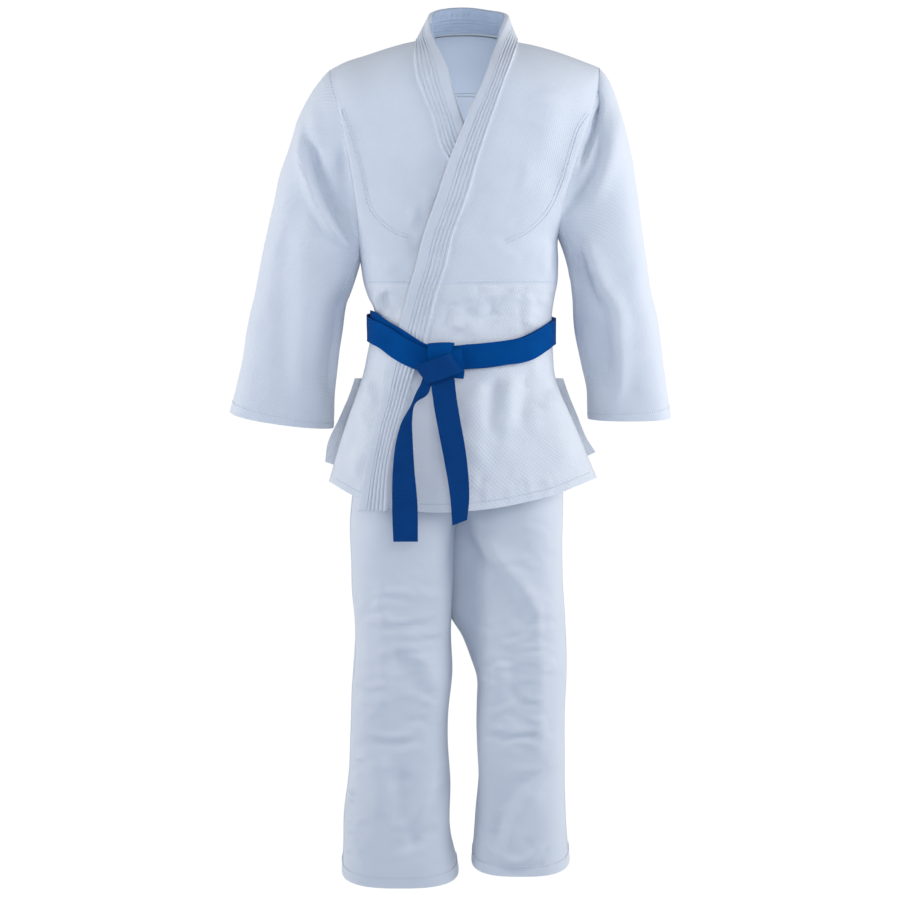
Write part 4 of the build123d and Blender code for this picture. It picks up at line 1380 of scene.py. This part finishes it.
RIGHT_LEG_FOLDS = [
    ([(-0.128, -0.86), (-0.124, -0.98), (-0.123, -1.1), (-0.126, -1.2)], 0.012, 0.0045),
    ([(-0.172, -0.985), (-0.12, -0.99), (-0.06, -0.982), (-0.02, -0.97)], 0.006, 0.0025, -1),
    ([(-0.11, -1.005), (-0.07, -1.015), (-0.02, -1.0)], 0.006, 0.0025, -1),
    ([(-0.12, -1.03), (-0.09, -1.06), (-0.06, -1.11)], 0.014, -0.005),
    ([(-0.1, -1.02), (-0.06, -1.06), (-0.03, -1.12)], 0.014, 0.004),
    ([(-0.165, -1.17), (-0.12, -1.185), (-0.06, -1.18)], 0.006, 0.0025, -1),
    ([(-0.15, -1.2), (-0.13, -1.26), (-0.14, -1.34)], 0.016, 0.006),
    ([(-0.03, -1.23), (-0.06, -1.3), (-0.11, -1.38)], 0.014, 0.007, 1),
    ([(-0.1, -1.22), (-0.09, -1.3), (-0.07, -1.4)], 0.014, -0.006),
    *wrinkles(20, (-0.17, -1.4, -0.03, -0.83), 70, 0.06, 0.006, 0.0009, 0.15, 0.45),
    *wrinkles(21, (-0.15, -1.13, -0.03, -0.93), 34, 0.06, 0.0045, 0.0012, 0.0, 0.25),
    *wrinkles(22, (-0.188, -1.4, -0.16, -1.22), 26, 0.02, 0.004, 0.0014, 0.0, 0.4),
]
LEFT_LEG_FOLDS = [
    ([(0.02, -0.815), (0.055, -0.865), (0.1, -0.92), (0.131, -0.97), (0.137, -1.03)], 0.013, 0.009, -1),
    ([(0.137, -0.98), (0.14, -1.06), (0.138, -1.15), (0.14, -1.24)], 0.012, 0.005),
    ([(0.06, -0.9), (0.07, -0.97), (0.09, -1.04)], 0.016, -0.006),
    ([(0.05, -1.02), (0.07, -1.08), (0.065, -1.14)], 0.014, 0.006, 1),
    ([(0.045, -1.168), (0.09, -1.178), (0.15, -1.17)], 0.006, 0.0035, -1),
    ([(0.1, -1.1), (0.12, -1.12), (0.15, -1.118)], 0.005, 0.003, -1),
    ([(0.155, -1.25), (0.11, -1.31), (0.08, -1.4)], 0.014, 0.007, -1),
    ([(0.05, -1.22), (0.07, -1.3), (0.06, -1.38)], 0.013, -0.005),
    ([(0.04, -1.36), (0.1, -1.4), (0.16, -1.36)], 0.008, 0.004, -1),
    *wrinkles(23, (0.05, -1.4, 0.165, -0.83), 70, 0.06, 0.006, 0.0009, -0.15, 0.45),
    *wrinkles(24, (0.05, -1.2, 0.15, -0.98), 34, 0.05, 0.0045, 0.0012, 0.0, 0.25),
]
LEG_BACK_FOLDS = {
    "right": [
        ([(-0.16, -1.0), (-0.1, -1.02), (-0.04, -1.0)], 0.014, 0.0035, -1),
        ([(-0.15, -1.06), (-0.1, -1.1), (-0.05, -1.07)], 0.014, 0.003, -1),
        *wrinkles(25, (-0.16, -1.38, -0.03, -0.83), 50, 0.08, 0.009, 0.0012, 0.1, 0.4),
    ],
    "left": [
        ([(0.05, -1.0), (0.1, -1.02), (0.16, -1.0)], 0.014, 0.0035, -1),
        ([(0.05, -1.07), (0.1, -1.1), (0.15, -1.06)], 0.014, 0.003, -1),
        *wrinkles(26, (0.05, -1.38, 0.16, -0.83), 50, 0.08, 0.009, 0.0012, -0.1, 0.4),
    ],
}


# ---- putting it together -----------------------------------------------------------------------
stitch = thread()
weave = [rice_weave(), stitch]
quilt = [diamond_quilt(), stitch]
# The trousers' drill is the jacket's white made about 4 % darker: painted shade for legs that get less
# light.
trouser = [drill("trouser_drill_painted_shade", 0.0022, (0.69, 0.725, 0.78), (0.745, 0.775, 0.82)), stitch]
# The lining is the white cloth tinted bluer: the blue of painted shade inside the jacket.
lining = [plain_weave("lining_weave_blue_shade", (0.69, 0.77, 0.9), (0.75, 0.82, 0.93)), stitch]
jacket_fronts(weave, lining)
jacket_back(weave)
yoke_linings(lining)
lapel_drill = drill("lapel_drill", 0.0018)
# A darker, bluer copy of the lapel drill for the inside of the collar: painted shade.
collar_painted_shade = drill("collar_painted_shade", 0.0018, (0.42, 0.51, 0.65), (0.55, 0.63, 0.76))
lapels_and_collar([lapel_drill, collar_painted_shade])
sleeve("right", weave)
sleeve("left", weave)
skirt(quilt)
belt(
    [belt_ribs("ribbed_belt_cotton", (0.0005, 0.046, 0.2), (0.0008, 0.09, 0.34))],
    # a darker copy of the belt's blue for the knot's front strap and the tails: painted shade
    [belt_ribs("ribbed_belt_painted_shade", (0.003, 0.034, 0.14), (0.005, 0.066, 0.25))],
)
seat(trouser)
leg("right", trouser)
leg("left", trouser)


# ---- camera, backdrop and light ----------------------------------------------------------------
def aim(obj, target):
    obj.rotation_euler = (Vector(target) - obj.location).to_track_quat("-Z", "Y").to_euler()


def soft_light(name, spot, target, size, power, colour):
    data = bpy.data.lights.new(name, "AREA")
    data.shape = "DISK"
    data.size = size
    data.energy = power
    data.color = colour
    lamp = bpy.data.objects.new(name, data)
    lamp.location = spot
    aim(lamp, target)
    lamp.visible_camera = False
    bpy.context.scene.collection.objects.link(lamp)


eye = bpy.data.cameras.new("camera")
eye.sensor_width = SENSOR
eye.lens = SENSOR * float(np.linalg.norm(AIM - EYE)) / VIEW_WIDTH
camera = bpy.data.objects.new("camera", eye)
camera.location = Vector(EYE)
aim(camera, AIM)
bpy.context.scene.collection.objects.link(camera)
bpy.context.scene.camera = camera

soft_light("left_box", (-2.6, -0.9, 0.1), (0, 0, -0.6), 2.0, 31, (1.0, 1.0, 1.0))
soft_light("right_box", (2.6, -0.9, 0.1), (0, 0, -0.6), 2.0, 41, (1.0, 1.0, 1.0))
soft_light("front_box", (0.4, -3.3, 0.5), (0, 0, -0.4), 2.2, 27, (0.96, 0.98, 1.0))
soft_light("neck_light", (0.012, -0.02, -0.17), (0.012, 0.1, -0.04), 0.07, 0.12, (0.9, 0.95, 1.0))


def graded(tree, source, low, high, first=0.0, last=1.0, easing="SMOOTHSTEP"):
    """A value that goes from the first to the last as its source goes from low to high."""
    node = tree.nodes.new("ShaderNodeMapRange")
    node.interpolation_type = easing
    for name, value in (("From Min", low), ("From Max", high), ("To Min", first), ("To Max", last)):
        node.inputs[name].default_value = value
    tree.links.new(source, node.inputs["Value"])
    return node.outputs["Result"]


def surround():
    """A white room whose front wall, behind the camera, is a darker blue grey."""
    world = bpy.data.worlds.new("studio")
    world.use_nodes = True
    tree = world.node_tree
    direction = tree.nodes.new("ShaderNodeTexCoord")
    split = tree.nodes.new("ShaderNodeSeparateXYZ")
    tree.links.new(direction.outputs["Generated"], split.inputs[0])
    depth = graded(tree, split.outputs["Y"], -0.5, 0.5)
    walls = tree.nodes.new("ShaderNodeMix")
    walls.data_type = "RGBA"
    walls.inputs["A"].default_value = (0.34, 0.41, 0.54, 1)
    walls.inputs["B"].default_value = (1.02, 1.02, 1.02, 1)
    tree.links.new(depth, walls.inputs["Factor"])
    height = graded(tree, split.outputs["Z"], 0.2, 0.9, 1.0, 0.3, "LINEAR")
    tree.links.new(walls.outputs["Result"], tree.nodes["Background"].inputs[0])
    tree.links.new(height, tree.nodes["Background"].inputs[1])
    bpy.context.scene.world = world


def room():
    """A plain pale floor just under the trousers and a round wall, white behind the uniform and pale grey
    in front of it. Only the camera sees them, so they cast no light of their own."""
    n = Nodes("pale_room")
    split = n.tree.nodes.new("ShaderNodeSeparateXYZ")
    n.tree.links.new(n.spot, split.inputs[0])
    depth, height = split.outputs["Y"], split.outputs["Z"]
    of_floor = graded(n.tree, depth, -4.5, -0.3, PALE_GREY, PAPER_WHITE)
    of_wall = graded(n.tree, depth, -3.0, 5.0, PALE_GREY, PAPER_WHITE)
    up_wall = graded(n.tree, height, FLOOR, FLOOR + COVE)
    shade = n.tree.nodes.new("ShaderNodeMix")
    shade.data_type = "FLOAT"
    for name, value in (("Factor", up_wall), ("A", of_floor), ("B", of_wall)):
        n.tree.links.new(value, shade.inputs[name])
    glow = n.tree.nodes.new("ShaderNodeEmission")
    n.tree.links.new(shade.outputs["Result"], glow.inputs["Strength"])
    n.tree.links.new(glow.outputs[0], n.tree.nodes["Material Output"].inputs["Surface"])
    turns = np.linspace(0, 2 * math.pi, ROOM_SIDES + 1)[:-1]
    points, faces = [], [tuple(range(ROOM_SIDES))]
    for rise in np.linspace(0, 1.4, ROOM_RINGS + 1):
        reach = ROOM * math.cos(rise)
        points += [(reach * math.cos(a), reach * math.sin(a), FLOOR + ROOM * math.sin(rise)) for a in turns]
    for ring in range(ROOM_RINGS):
        for k in range(ROOM_SIDES):
            a, b = ring * ROOM_SIDES + k, ring * ROOM_SIDES + (k + 1) % ROOM_SIDES
            faces.append((a, b, b + ROOM_SIDES, a + ROOM_SIDES))
    mesh = bpy.data.meshes.new("pale_room")
    mesh.from_pydata(points, [], faces)
    mesh.materials.append(n.material)
    shell = bpy.data.objects.new("pale_room", mesh)
    shell.visible_diffuse = False
    shell.visible_glossy = False
    shell.visible_shadow = False
    shell.visible_transmission = False
    bpy.context.scene.collection.objects.link(shell)


surround()
room()
bpy.context.scene.view_settings.view_transform = "Standard"
